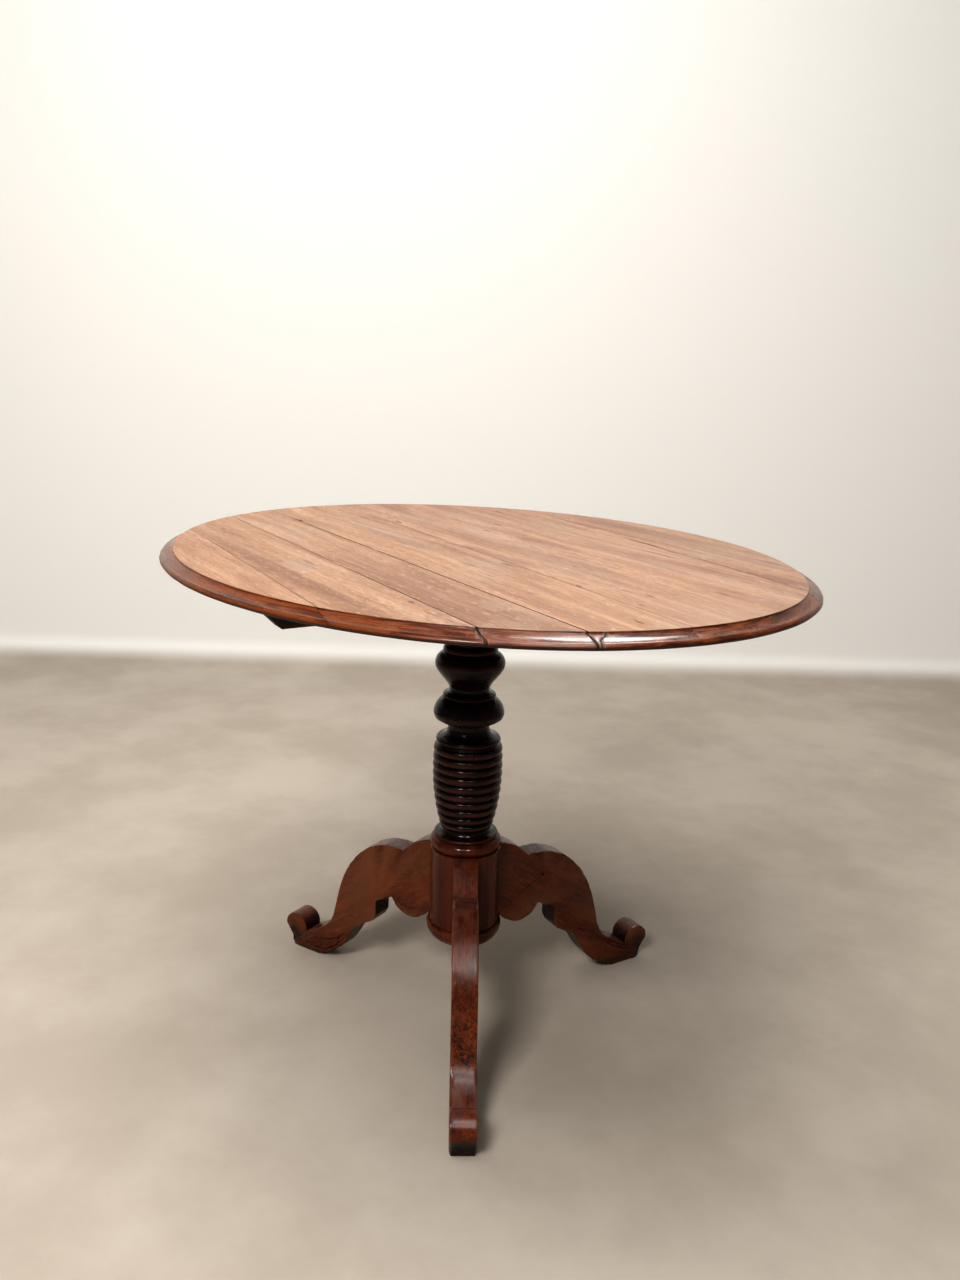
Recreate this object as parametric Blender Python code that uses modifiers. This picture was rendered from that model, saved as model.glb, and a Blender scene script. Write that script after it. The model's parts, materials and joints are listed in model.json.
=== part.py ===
"""Oval tilt-top table on a turned column with three sawn scroll legs.

Metres, +Z up. The origin is on the floor on the column's axis. +X runs along the boards of
the top, which is the oval's long axis. +Y runs along the bearers, and one leg points that way.
The top turns on two iron pins whose axis is parallel to X, a little to the -Y side.
"""

import math

import bmesh
import bpy
from mathutils import Matrix, Vector

# ---------------------------------------------------------------- driving dimensions
GAP = 0.0003  # clearance left between pieces that touch

HEIGHT = 0.740
TOP_SEMI_X = 0.525
TOP_SEMI_Y = 0.427
TOP_THICK = 0.018
UNDERSIDE = HEIGHT - TOP_THICK
# where each seam between two boards meets the oval's left and right ends
SEAMS_Y = ((-0.313, -0.357), (-0.220, -0.2355), (-0.134, -0.141), (0.015, -0.030), (0.3265, 0.2215))
OVAL_STEPS = 96
# (inset from the oval, depth below the top face)
RIM_PROFILE = (
    (0.0185, 0.0),
    (0.0182, 0.0030),
    (0.0125, 0.0046),
    (0.0060, 0.0076),
    (0.0012, 0.0102),
    (0.0, 0.0125),
    (0.0022, 0.0158),
    (0.0085, 0.0180),
)

BEARER_X = (0.080, 0.108)  # inner and outer face
BEARER_BOTTOM = 0.677
BEARER_TOP = UNDERSIDE - GAP
BEARER_HALF_LENGTH = 0.328  # along the bottom edge; the ends slope out at 45 degrees above it
BEARER_SCREWS_Y = (-0.347, -0.284, -0.187, -0.112, 0.124, 0.335)

BLOCK_TOP = UNDERSIDE - 0.0004
BLOCK_BOTTOM = BEARER_BOTTOM
BLOCK_HALF_WIDTH = 0.0795
BLOCK_FRONT = 0.085
PIVOT_Y = -0.070
PIVOT_Z = (BLOCK_TOP + BLOCK_BOTTOM) / 2
BLOCK_ROUND = BLOCK_TOP - PIVOT_Z
PIN_RADIUS = 0.008
PIN_RUNNING_GAP = 0.0004
PIN_INNER_END = 0.047
PIN_HEAD = (0.1086, 0.1126)
PIN_HEAD_RADIUS = 0.013

TENON_RADIUS = 0.0222
TENON_TOP = BLOCK_TOP - GAP
SHOULDER = BLOCK_BOTTOM - GAP
WEDGE_SIZE = (0.038, 0.0030, 0.028)
KERF_WIDTH = 0.0036
KERF_DEPTH = 0.032

RIB_COUNT = 10
RIB_TOP = 0.4390
RIB_PITCH = 0.0134
RIB_DEPTH = 0.0036
BELLY_Z = 0.4060
BELLY_RADIUS = 0.0527
BELLY_CURVE_ABOVE = 0.80  # how fast the barrel narrows, radius per height squared
BELLY_CURVE_BELOW = 1.51
HUB_RADIUS = 0.0535
HUB_TOP = 0.2785
HUB_BOTTOM = 0.1560
COLUMN_STEPS = 36

CAP_TOP = HUB_BOTTOM - GAP
CAP_BOTTOM = 0.1260
CAP_RADIUS = 0.0580
CAP_SCREW_CIRCLE = 0.024
CAP_POCKET = 0.008

LEG_THICK = 0.0364
LEG_AZIMUTHS = {"leg_front": -28.8, "leg_side": 90.0, "leg_back": 207.0}  # set by eye when it was made
LEG_START = 0.046
SCROLL_CENTRE = (0.3355, 0.0385)
SCROLL_RADIUS = 0.0232
TONGUE_WIDTH = (0.014, 0.020)  # at the hub's face and at its inner end
TONGUE_INNER = 0.0375
TONGUE_OUTER = 0.062
TONGUE_Z = (0.1580, 0.2735)

BOLT_RADIUS = 0.005
BOLT_Z = 0.7085
BOLT_TRAVEL = 0.016
BOLT_TIP = 0.0893
BOLT_LENGTH = 0.083
BOLT_KNOB_Y = 0.141
BOLT_HOLE_RADIUS = 0.0055
MORTISE_DEPTH = 0.017
CATCH_PLATE = (0.017, 0.098, 0.165, 0.0020)  # half width, near end, far end, thickness
CATCH_LUGS = ((0.104, 0.114), (0.150, 0.160))
CATCH_LUG_HALF_WIDTH = 0.0075
CATCH_SCREWS = ((-0.0125, 0.103), (0.0125, 0.103), (-0.0125, 0.160), (0.0125, 0.160))
STRIKE = (0.022, 0.0130, 0.0020)  # half width, half height, thickness
STRIKE_Z = 0.7035
STRIKE_SCREW_X = 0.0155

SCREW_SHANK = 0.0019
SCREW_HOLE = 0.0023
SCREW_HEAD_RADIUS = 0.0044
SCREW_HEAD_HEIGHT = 0.0024
SCREW_POCKET = 0.0056
SCREW_STEPS = 10
BEARER_SCREW_HEAD_Z = 0.6990
BEARER_SCREW_TIP_Z = 0.7330
PILOT_EXTRA = 0.0007

# colour, roughness, metallic
WOODS = {
    "top_walnut": ((0.36, 0.17, 0.075), 0.42, 0.0),
    "column_dark": ((0.035, 0.012, 0.007), 0.28, 0.0),
    "leg_walnut": ((0.13, 0.042, 0.017), 0.40, 0.0),
    "hidden_wood": ((0.10, 0.05, 0.025), 0.70, 0.0),
    "iron": ((0.09, 0.085, 0.08), 0.50, 1.0),
    "brass": ((0.52, 0.36, 0.13), 0.35, 1.0),
}

for old in list(bpy.data.objects):
    bpy.data.objects.remove(old, do_unlink=True)

PARTS = bpy.data.collections.new("tilt_top_table")
CUTTERS = bpy.data.collections.new("cutters")
bpy.context.scene.collection.children.link(PARTS)
bpy.context.scene.collection.children.link(CUTTERS)


# ---------------------------------------------------------------- helpers
def material_for(name, slot):
    colour, roughness, metallic = WOODS[slot]
    material = bpy.data.materials.new(name + "_" + slot)
    material.use_nodes = True
    shader = material.node_tree.nodes["Principled BSDF"]
    shader.inputs["Base Color"].default_value = (*colour, 1.0)
    shader.inputs["Roughness"].default_value = roughness
    shader.inputs["Metallic"].default_value = metallic
    return material


def finish(obj, slot, angle=35.0):
    """Gives a piece its own material and smooth shading with sharp edges kept."""
    obj.data.materials.clear()
    obj.data.materials.append(material_for(obj.name, slot))
    obj.data.shade_smooth()
    obj.data.set_sharp_from_angle(angle=math.radians(angle))
    return obj


def new_object(name, mesh, collection):
    obj = bpy.data.objects.new(name, mesh)
    collection.objects.link(obj)
    return obj


def as_cutter(obj):
    obj.hide_render = True
    obj.display_type = "WIRE"
    return obj


def evaluated_mesh(obj):
    graph = bpy.context.evaluated_depsgraph_get()
    graph.update()
    return bpy.data.meshes.new_from_object(obj.evaluated_get(graph))


def turned(name, profile, steps, collection=PARTS):
    """A solid turned about Z from (radius, z) points that run from its top to its bottom."""
    mesh = bpy.data.meshes.new(name)
    points = [(radius, 0.0, z) for radius, z in profile]
    mesh.from_pydata(points, [(i, i + 1) for i in range(len(points) - 1)], [])
    obj = new_object(name, mesh, collection)
    screw = obj.modifiers.new("turn", "SCREW")
    screw.axis = "Z"
    screw.steps = steps
    screw.render_steps = steps
    screw.use_merge_vertices = True
    screw.merge_threshold = 0.0001
    return obj


def extruded(name, outline, thickness, collection=PARTS):
    """A plate from a closed outline in its own XY plane, with Z through its thickness."""
    curve = bpy.data.curves.new(name + "_outline", "CURVE")
    curve.dimensions = "2D"
    curve.fill_mode = "BOTH"
    curve.extrude = thickness / 2
    spline = curve.splines.new("POLY")
    spline.points.add(len(outline) - 1)
    for point, (x, y) in zip(spline.points, outline):
        point.co = (x, y, 0.0, 1.0)
    spline.use_cyclic_u = True
    guide = new_object(name + "_guide", curve, collection)
    mesh = evaluated_mesh(guide)
    bpy.data.objects.remove(guide, do_unlink=True)
    mesh.name = name
    work = bmesh.new()
    work.from_mesh(mesh)
    bmesh.ops.remove_doubles(work, verts=work.verts, dist=0.00001)
    bmesh.ops.recalc_face_normals(work, faces=work.faces)
    work.to_mesh(mesh)
    work.free()
    return new_object(name, mesh, collection)


def box(name, low, high, collection=PARTS):
    mesh = bpy.data.meshes.new(name)
    work = bmesh.new()
    bmesh.ops.create_cube(work, size=1.0)
    size = Vector(high) - Vector(low)
    centre = (Vector(high) + Vector(low)) / 2
    bmesh.ops.transform(work, matrix=Matrix.Diagonal(size).to_4x4(), verts=work.verts)
    bmesh.ops.translate(work, vec=centre, verts=work.verts)
    work.to_mesh(mesh)
    work.free()
    return new_object(name, mesh, collection)


def rod(name, start, end, radius, steps=20, collection=CUTTERS):
    """A plain cylinder from one point to another."""
    start, end = Vector(start), Vector(end)
    mesh = bpy.data.meshes.new(name)
    work = bmesh.new()
    bmesh.ops.create_cone(
        work, cap_ends=True, segments=steps, radius1=radius, radius2=radius,
        depth=(end - start).length,
    )
    turn = (end - start).to_track_quat("Z", "Y").to_matrix().to_4x4()
    bmesh.ops.transform(
        work, matrix=Matrix.Translation((start + end) / 2) @ turn, verts=work.verts
    )
    work.to_mesh(mesh)
    work.free()
    return new_object(name, mesh, collection)


def boolean(obj, other, operation="DIFFERENCE"):
    modifier = obj.modifiers.new(operation.lower() + "_" + other.name, "BOOLEAN")
    modifier.operation = operation
    modifier.object = other
    modifier.solver = "EXACT"
    as_cutter(other)
    return obj


def placed(obj, matrix):
    """Moves the mesh itself, so that the object's own origin stays at the world's."""
    obj.data.transform(matrix)
    return obj


def turned_towards(axis, at):
    """The matrix that lays a piece turned about Z along another axis, through a point."""
    return Matrix.Translation(Vector(at)) @ Vector(axis).to_track_quat("Z", "Y").to_matrix().to_4x4()


def smooth_run(points, steps=5):
    """A Catmull-Rom curve through points; a corner is where one run ends and the next begins."""
    points = [Vector(p) for p in points]
    ends = [2 * points[0] - points[1], *points, 2 * points[-1] - points[-2]]
    run = []
    for before, start, end, after in zip(ends, ends[1:], ends[2:], ends[3:]):
        for i in range(steps):
            t = i / steps
            run.append(0.5 * (
                2 * start + (end - before) * t
                + (2 * before - 5 * start + 4 * end - after) * t ** 2
                + (3 * start - before - 3 * end + after) * t ** 3
            ))
    return [tuple(p) for p in run] + [tuple(points[-1])]


def arc(centre, radius, from_degrees, to_degrees, steps):
    angles = [
        math.radians(from_degrees + (to_degrees - from_degrees) * i / steps)
        for i in range(steps + 1)
    ]
    return [(centre[0] + radius * math.cos(a), centre[1] + radius * math.sin(a)) for a in angles]


def without_repeats(points, least=0.0002):
    kept = [points[0]]
    for point in points[1:]:
        if math.dist(point, kept[-1]) > least:
            kept.append(point)
    if math.dist(kept[0], kept[-1]) <= least:
        kept.pop()
    return kept


# ---------------------------------------------------------------- the oval top
def oval_disc():
    """The whole top, before it is cut into boards: its edge moulding has the same width all round."""
    mesh = bpy.data.meshes.new("oval_disc")
    work = bmesh.new()
    rings = []
    for inset, depth in RIM_PROFILE:
        ring = bmesh.ops.create_circle(work, radius=1.0, segments=OVAL_STEPS)["verts"]
        bmesh.ops.transform(
            work, verts=ring,
            matrix=Matrix.Translation((0, 0, HEIGHT - depth))
            @ Matrix.Diagonal((TOP_SEMI_X - inset, TOP_SEMI_Y - inset, 1.0)).to_4x4(),
        )
        rings.append([edge for edge in work.edges if all(v in set(ring) for v in edge.verts)])
    for upper, lower in zip(rings, rings[1:]):
        bmesh.ops.bridge_loops(work, edges=upper + lower)
    for ring in (rings[0], rings[-1]):
        bmesh.ops.contextual_create(work, geom=ring)
    bmesh.ops.recalc_face_normals(work, faces=work.faces)
    work.to_mesh(mesh)
    work.free()
    return mesh


def make_boards():
    disc = oval_disc()
    reach = TOP_SEMI_X
    edges = [(-reach, -reach), *SEAMS_Y, (reach, reach)]
    boards = []
    for number, (low, high) in enumerate(zip(edges, edges[1:]), start=1):
        board = new_object(f"top_board_{number}", disc.copy(), PARTS)
        outline = [
            (-reach, low[0] + GAP / 2), (reach, low[1] + GAP / 2),
            (reach, high[1] - GAP / 2), (-reach, high[0] - GAP / 2),
        ]
        strip = extruded(f"strip_{number}", outline, 2 * TOP_THICK, CUTTERS)
        placed(strip, Matrix.Translation((0, 0, HEIGHT - TOP_THICK / 2)))
        boolean(board, strip, "INTERSECT")
        boards.append(board)
    return boards


def board_at(boards, x, y):
    share = (x + TOP_SEMI_X) / (2 * TOP_SEMI_X)
    return boards[sum(y > left + (right - left) * share for left, right in SEAMS_Y)]


def wood_screw(name, at, axis, length, slot="iron"):
    """A round-headed screw: its head is at a point and its shank runs along an axis."""
    head, shank = SCREW_HEAD_RADIUS, SCREW_SHANK
    profile = (
        (0.0, length), (shank, length - 0.004), (shank, SCREW_HEAD_HEIGHT),
        (head, SCREW_HEAD_HEIGHT), (head, 0.0012), (head * 0.62, 0.0), (0.0, 0.0),
    )
    screw = turned(name, profile, SCREW_STEPS)
    placed_mesh = evaluated_mesh(screw)
    screw.modifiers.clear()
    screw.data = placed_mesh
    placed(screw, turned_towards(axis, at))
    return finish(screw, slot, 50.0)


def make_bearers(boards, axis):
    bottom, top, flat = BEARER_BOTTOM, BEARER_TOP, BEARER_HALF_LENGTH
    end = flat + top - bottom
    outline = [(-flat, bottom), (flat, bottom), (end, top), (-end, top)]
    inner, outer = BEARER_X
    for side, sign in (("left", -1), ("right", 1)):
        bearer = extruded(f"bearer_{side}", outline, outer - inner)
        # The outline's own X and Y become the world's Y and Z.
        stand = Matrix(((0, 0, 1, 0), (1, 0, 0, 0), (0, 1, 0, 0), (0, 0, 0, 1)))
        middle = sign * (inner + outer) / 2
        placed(bearer, Matrix.Translation((middle, 0, 0)) @ stand)
        hole = rod(
            f"pivot_hole_{side}",
            (middle - 0.03, PIVOT_Y, PIVOT_Z), (middle + 0.03, PIVOT_Y, PIVOT_Z),
            PIN_RADIUS + PIN_RUNNING_GAP, 24,
        )
        boolean(bearer, hole)
        for number, y in enumerate(BEARER_SCREWS_Y, start=1):
            label = f"{side}_{number}"
            pocket = rod(
                "pocket_" + label, (middle, y, bottom - 0.01),
                (middle, y, BEARER_SCREW_HEAD_Z + SCREW_HEAD_HEIGHT + GAP), SCREW_POCKET, 10,
            )
            clearance = rod(
                "clearance_" + label, (middle, y, bottom), (middle, y, top + 0.004), SCREW_HOLE, 8
            )
            pilot = rod(
                "pilot_" + label, (middle, y, UNDERSIDE - 0.004),
                (middle, y, BEARER_SCREW_TIP_Z + PILOT_EXTRA), SCREW_HOLE, 8,
            )
            boolean(boolean(bearer, pocket), clearance)
            boolean(board_at(boards, middle, y), pilot)
            screw = wood_screw(
                "bearer_screw_" + label, (middle, y, BEARER_SCREW_HEAD_Z), (0, 0, 1),
                BEARER_SCREW_TIP_Z - BEARER_SCREW_HEAD_Z,
            )
            attach(screw, axis)
        attach(finish(bearer, "hidden_wood"), axis)


# ---------------------------------------------------------------- column
def barrel_radius(z):
    """The radius of the ribs' crests, widest near the top of the barrel."""
    curve = BELLY_CURVE_ABOVE if z > BELLY_Z else BELLY_CURVE_BELOW
    return BELLY_RADIUS - curve * (z - BELLY_Z) ** 2


def rib_profile():
    """Ten round ribs with a sharp groove between each two."""
    points = []
    for rib in range(RIB_COUNT):
        crest = RIB_TOP - RIB_PITCH * rib
        for part in (0.5, 0.32, 0.0, -0.32):
            z = crest + RIB_PITCH * part
            rise = math.sqrt(1.0 - (2 * part) ** 2)
            points.append((barrel_radius(z) - RIB_DEPTH * (1.0 - rise), z))
    last = RIB_TOP - RIB_PITCH * (RIB_COUNT - 0.5)
    points.append((barrel_radius(last) - RIB_DEPTH, last))
    return points


def column_profile():
    tenon = [(0.0, TENON_TOP), (TENON_RADIUS, TENON_TOP), (TENON_RADIUS, SHOULDER)]
    collar = [(0.0500, SHOULDER), (0.0510, 0.6715), (0.0500, 0.6660), (0.0455, 0.6645)]
    neck = smooth_run([(0.0455, 0.6645), (0.0365, 0.6520), (0.0322, 0.6330), (0.0312, 0.6000)], 2)
    ball_ring = [(0.0325, 0.5955), (0.0395, 0.5938), (0.0408, 0.5915), (0.0400, 0.5888)]
    ball = smooth_run(
        [(0.0412, 0.5882), (0.0497, 0.5810), (0.0522, 0.5715), (0.0502, 0.5615),
         (0.0448, 0.5522), (0.0360, 0.5430), (0.0299, 0.5305), (0.0318, 0.5262)], 1,
    )
    bell_ring = [(0.0372, 0.5240), (0.0398, 0.5215), (0.0395, 0.5180)]
    bell = smooth_run(
        [(0.0408, 0.5176), (0.0480, 0.5090), (0.0530, 0.4963), (0.0512, 0.4885)], 2
    ) + [(0.0453, 0.4837), (0.0374, 0.4805)]
    lower_neck = smooth_run(
        [(0.0320, 0.4780), (0.0311, 0.4700), (0.0345, 0.4632), (0.0440, 0.4575)], 2
    )
    shoulder = [(0.0472, 0.4562), (0.0480, 0.4535), (0.0474, 0.4500)]
    dish = smooth_run([(0.0368, 0.3102), (0.0385, 0.3062), (0.0450, 0.3042)], 2)
    dish_ring = [(0.0484, 0.3036), (0.0490, 0.3015), (0.0484, 0.2990), (0.0470, 0.2985)]
    torus = arc((0.0455, 0.2885), 0.0094, 75.0, -72.0, 6)
    hub = [(0.0512, 0.2796), (0.0512, HUB_TOP), (HUB_RADIUS, HUB_TOP), (HUB_RADIUS, HUB_BOTTOM)]
    return (
        tenon + collar + neck[1:] + ball_ring + ball + bell_ring + bell + lower_neck + shoulder
        + rib_profile() + dish + dish_ring + torus + hub + [(0.0, HUB_BOTTOM)]
    )


def tongue_outline(extra):
    """The dovetail seen from above, along +X, with the same clearance added all round."""
    mouth, inner = TONGUE_WIDTH[0] / 2, TONGUE_WIDTH[1] / 2
    reach = HUB_RADIUS - TONGUE_INNER
    slope = (inner - mouth) / reach
    back = TONGUE_INNER - extra
    front = TONGUE_OUTER + extra
    at_front = max(mouth - slope * (front - HUB_RADIUS), 0.004)
    return [
        (back, -inner - extra), (front, -at_front - extra),
        (front, at_front + extra), (back, inner + extra),
    ]


def standing_prism(name, outline, low, high, azimuth, collection):
    prism = extruded(name, outline, high - low, collection)
    turn = Matrix.Rotation(math.radians(azimuth), 4, "Z")
    return placed(prism, turn @ Matrix.Translation((0, 0, (low + high) / 2)))


def make_column():
    column = turned("column", column_profile(), COLUMN_STEPS)
    for name, azimuth in LEG_AZIMUTHS.items():
        slot = standing_prism(
            "slot_" + name, tongue_outline(GAP), HUB_BOTTOM - 0.01, TONGUE_Z[1] + GAP,
            azimuth, CUTTERS,
        )
        boolean(column, slot)
    half = WEDGE_SIZE[0] / 2
    kerf = box(
        "kerf", (-half - 0.01, -KERF_WIDTH / 2, TENON_TOP - KERF_DEPTH),
        (half + 0.01, KERF_WIDTH / 2, TENON_TOP + 0.01), CUTTERS,
    )
    boolean(column, kerf)
    for number, (x, y) in enumerate(cap_screw_places(), start=1):
        pilot = rod(
            f"cap_pilot_{number}", (x, y, HUB_BOTTOM - 0.01), (x, y, HUB_BOTTOM + 0.0185),
            SCREW_HOLE, 8,
        )
        boolean(column, pilot)
    finish(column, "column_dark")
    wedge = box(
        "tenon_wedge",
        (-half, -WEDGE_SIZE[1] / 2, TENON_TOP - WEDGE_SIZE[2]),
        (half, WEDGE_SIZE[1] / 2, TENON_TOP),
    )
    finish(wedge, "hidden_wood")


def cap_screw_places():
    """Between the legs, so that the screws miss the dovetails."""
    for azimuth in LEG_AZIMUTHS.values():
        angle = math.radians(azimuth + 60.0)
        yield CAP_SCREW_CIRCLE * math.cos(angle), CAP_SCREW_CIRCLE * math.sin(angle)


def make_base_cap():
    side = smooth_run(
        [(0.0568, CAP_TOP - 0.0008), (CAP_RADIUS, 0.1500), (0.0562, 0.1408), (0.0505, 0.1318),
         (0.0420, CAP_BOTTOM)], 3,
    )
    profile = [(0.0, CAP_TOP), (0.0550, CAP_TOP), *side, (0.0, CAP_BOTTOM)]
    cap = turned("base_cap", profile, COLUMN_STEPS)
    for number, (x, y) in enumerate(cap_screw_places(), start=1):
        pocket_top = CAP_BOTTOM + CAP_POCKET
        pocket = rod(
            f"cap_pocket_{number}", (x, y, CAP_BOTTOM - 0.01), (x, y, pocket_top), SCREW_POCKET, 10
        )
        through = rod(
            f"cap_through_{number}", (x, y, CAP_BOTTOM), (x, y, CAP_TOP + 0.01), SCREW_HOLE, 8
        )
        boolean(boolean(cap, pocket), through)
        wood_screw(
            f"cap_screw_{number}", (x, y, pocket_top - SCREW_HEAD_HEIGHT - GAP), (0, 0, 1), 0.040
        )
    finish(cap, "column_dark")


# ---------------------------------------------------------------- legs
def leg_outline():
    """One leg from the side, as (distance from the axis, height), clockwise from the hub's top."""
    x, z = SCROLL_CENTRE
    upper_lobe = smooth_run(
        [(LEG_START, 0.2768), (0.0620, 0.2757), (0.0860, 0.2645), (0.1070, 0.2450)], 4
    )
    knee_to_foot = smooth_run(
        [(0.1070, 0.2450), (0.1250, 0.2455), (0.1480, 0.2425), (0.1810, 0.2275), (0.2100, 0.1985),
         (0.2300, 0.1630), (0.2430, 0.1220), (0.2520, 0.0870), (0.2640, 0.0660), (0.2850, 0.0500),
         (x - SCROLL_RADIUS, 0.0360)], 3,
    )
    scroll = arc((x, z), SCROLL_RADIUS, 187.0, -38.0, 18)
    toe = [(0.3490, 0.0150), (0.3475, 0.0045), (0.3430, 0.0)]
    sole = [(0.2880, 0.0)]
    belly = smooth_run(
        [(0.2760, 0.0025), (0.2620, 0.0090), (0.2490, 0.0185), (0.2360, 0.0305), (0.2215, 0.0500),
         (0.2040, 0.0790)], 2,
    )
    step = smooth_run([(0.1775, 0.0955), (0.1670, 0.1020), (0.1605, 0.1130)], 3)
    cusp = [(0.1607, 0.1390), (0.1285, 0.1570)]
    lower_lobe = smooth_run(
        [(0.1285, 0.1570), (0.1150, 0.1410), (0.0910, 0.1335), (0.0680, 0.1420),
         (LEG_START, 0.1585)], 4,
    )
    return without_repeats(
        upper_lobe + knee_to_foot + scroll + toe + sole + belly + step + cusp + lower_lobe
    )


def make_legs():
    outline = leg_outline()
    around_hub = rod("around_hub", (0, 0, 0.10), (0, 0, 0.32), HUB_RADIUS + GAP, 72)
    around_cap = rod("around_cap", (0, 0, 0.10), (0, 0, CAP_TOP + 0.0005), CAP_RADIUS + GAP, 72)
    for name, azimuth in LEG_AZIMUTHS.items():
        leg = extruded(name, outline, LEG_THICK)
        stand = Matrix.Rotation(math.radians(90.0), 4, "X")
        turn = Matrix.Rotation(math.radians(azimuth), 4, "Z")
        placed(leg, turn @ stand)
        boolean(boolean(leg, around_hub), around_cap)
        tongue = standing_prism(
            "tongue_" + name, tongue_outline(0.0), TONGUE_Z[0], TONGUE_Z[1], azimuth, CUTTERS
        )
        boolean(leg, tongue, "UNION")
        finish(leg, "leg_walnut")


# ---------------------------------------------------------------- block and pins
def make_block():
    rounded = arc((PIVOT_Y, PIVOT_Z), BLOCK_ROUND, 90.0, 180.0, 8)
    outline = [
        (BLOCK_FRONT, BLOCK_BOTTOM), (BLOCK_FRONT, BLOCK_TOP), *rounded,
        (PIVOT_Y - BLOCK_ROUND, BLOCK_BOTTOM),
    ]
    block = extruded("pivot_block", outline, 2 * BLOCK_HALF_WIDTH)
    placed(block, Matrix(((0, 0, 1, 0), (1, 0, 0, 0), (0, 1, 0, 0), (0, 0, 0, 1))))
    tenon_hole = rod(
        "tenon_hole", (0, 0, BLOCK_BOTTOM - 0.01), (0, 0, BLOCK_TOP + 0.01),
        TENON_RADIUS + GAP, COLUMN_STEPS,
    )
    mortise = rod(
        "bolt_mortise", (0, BLOCK_FRONT - MORTISE_DEPTH, BOLT_Z), (0, BLOCK_FRONT + 0.01, BOLT_Z),
        BOLT_HOLE_RADIUS, 16,
    )
    boolean(boolean(block, tenon_hole), mortise)
    for sign, side in ((-1, "left"), (1, "right")):
        hole = rod(
            f"pin_hole_{side}", (sign * (PIN_INNER_END - GAP), PIVOT_Y, PIVOT_Z),
            (sign * (BLOCK_HALF_WIDTH + 0.01), PIVOT_Y, PIVOT_Z), PIN_RADIUS + GAP, 24,
        )
        boolean(block, hole)
        length = PIN_HEAD[1] - PIN_INNER_END
        head = PIN_HEAD[0] - PIN_INNER_END
        profile = (
            (0.0, length), (PIN_HEAD_RADIUS - 0.001, length), (PIN_HEAD_RADIUS, length - 0.001),
            (PIN_HEAD_RADIUS, head), (PIN_RADIUS, head), (PIN_RADIUS, 0.001),
            (PIN_RADIUS - 0.001, 0.0), (0.0, 0.0),
        )
        pin = turned(f"pivot_pin_{side}", profile, 24)
        pin.rotation_euler = (0.0, sign * math.radians(90.0), 0.0)
        pin.location = (sign * PIN_INNER_END, PIVOT_Y, PIVOT_Z)
        finish(pin, "iron")
    finish(block, "hidden_wood")


# ---------------------------------------------------------------- catch
def make_strike(block_front):
    half, tall, thick = STRIKE
    near = block_front + GAP
    strike = box(
        "strike_plate", (-half, near, STRIKE_Z - tall), (half, near + thick, STRIKE_Z + tall)
    )
    bolt_hole = rod(
        "strike_hole", (0, near - 0.01, BOLT_Z), (0, near + 0.01, BOLT_Z), BOLT_HOLE_RADIUS, 16
    )
    boolean(strike, bolt_hole)
    block = bpy.data.objects["pivot_block"]
    for number, sign in enumerate((-1, 1), start=1):
        x = sign * STRIKE_SCREW_X
        hole = rod(
            f"strike_screw_hole_{number}", (x, block_front - 0.0185, STRIKE_Z),
            (x, near + 0.01, STRIKE_Z), SCREW_HOLE, 8,
        )
        boolean(strike, hole)
        boolean(block, hole)
        head = near + thick + GAP + SCREW_HEAD_HEIGHT
        wood_screw(f"strike_screw_{number}", (x, head, STRIKE_Z), (0, -1, 0), 0.0220, "brass")
    finish(strike, "brass")


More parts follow.
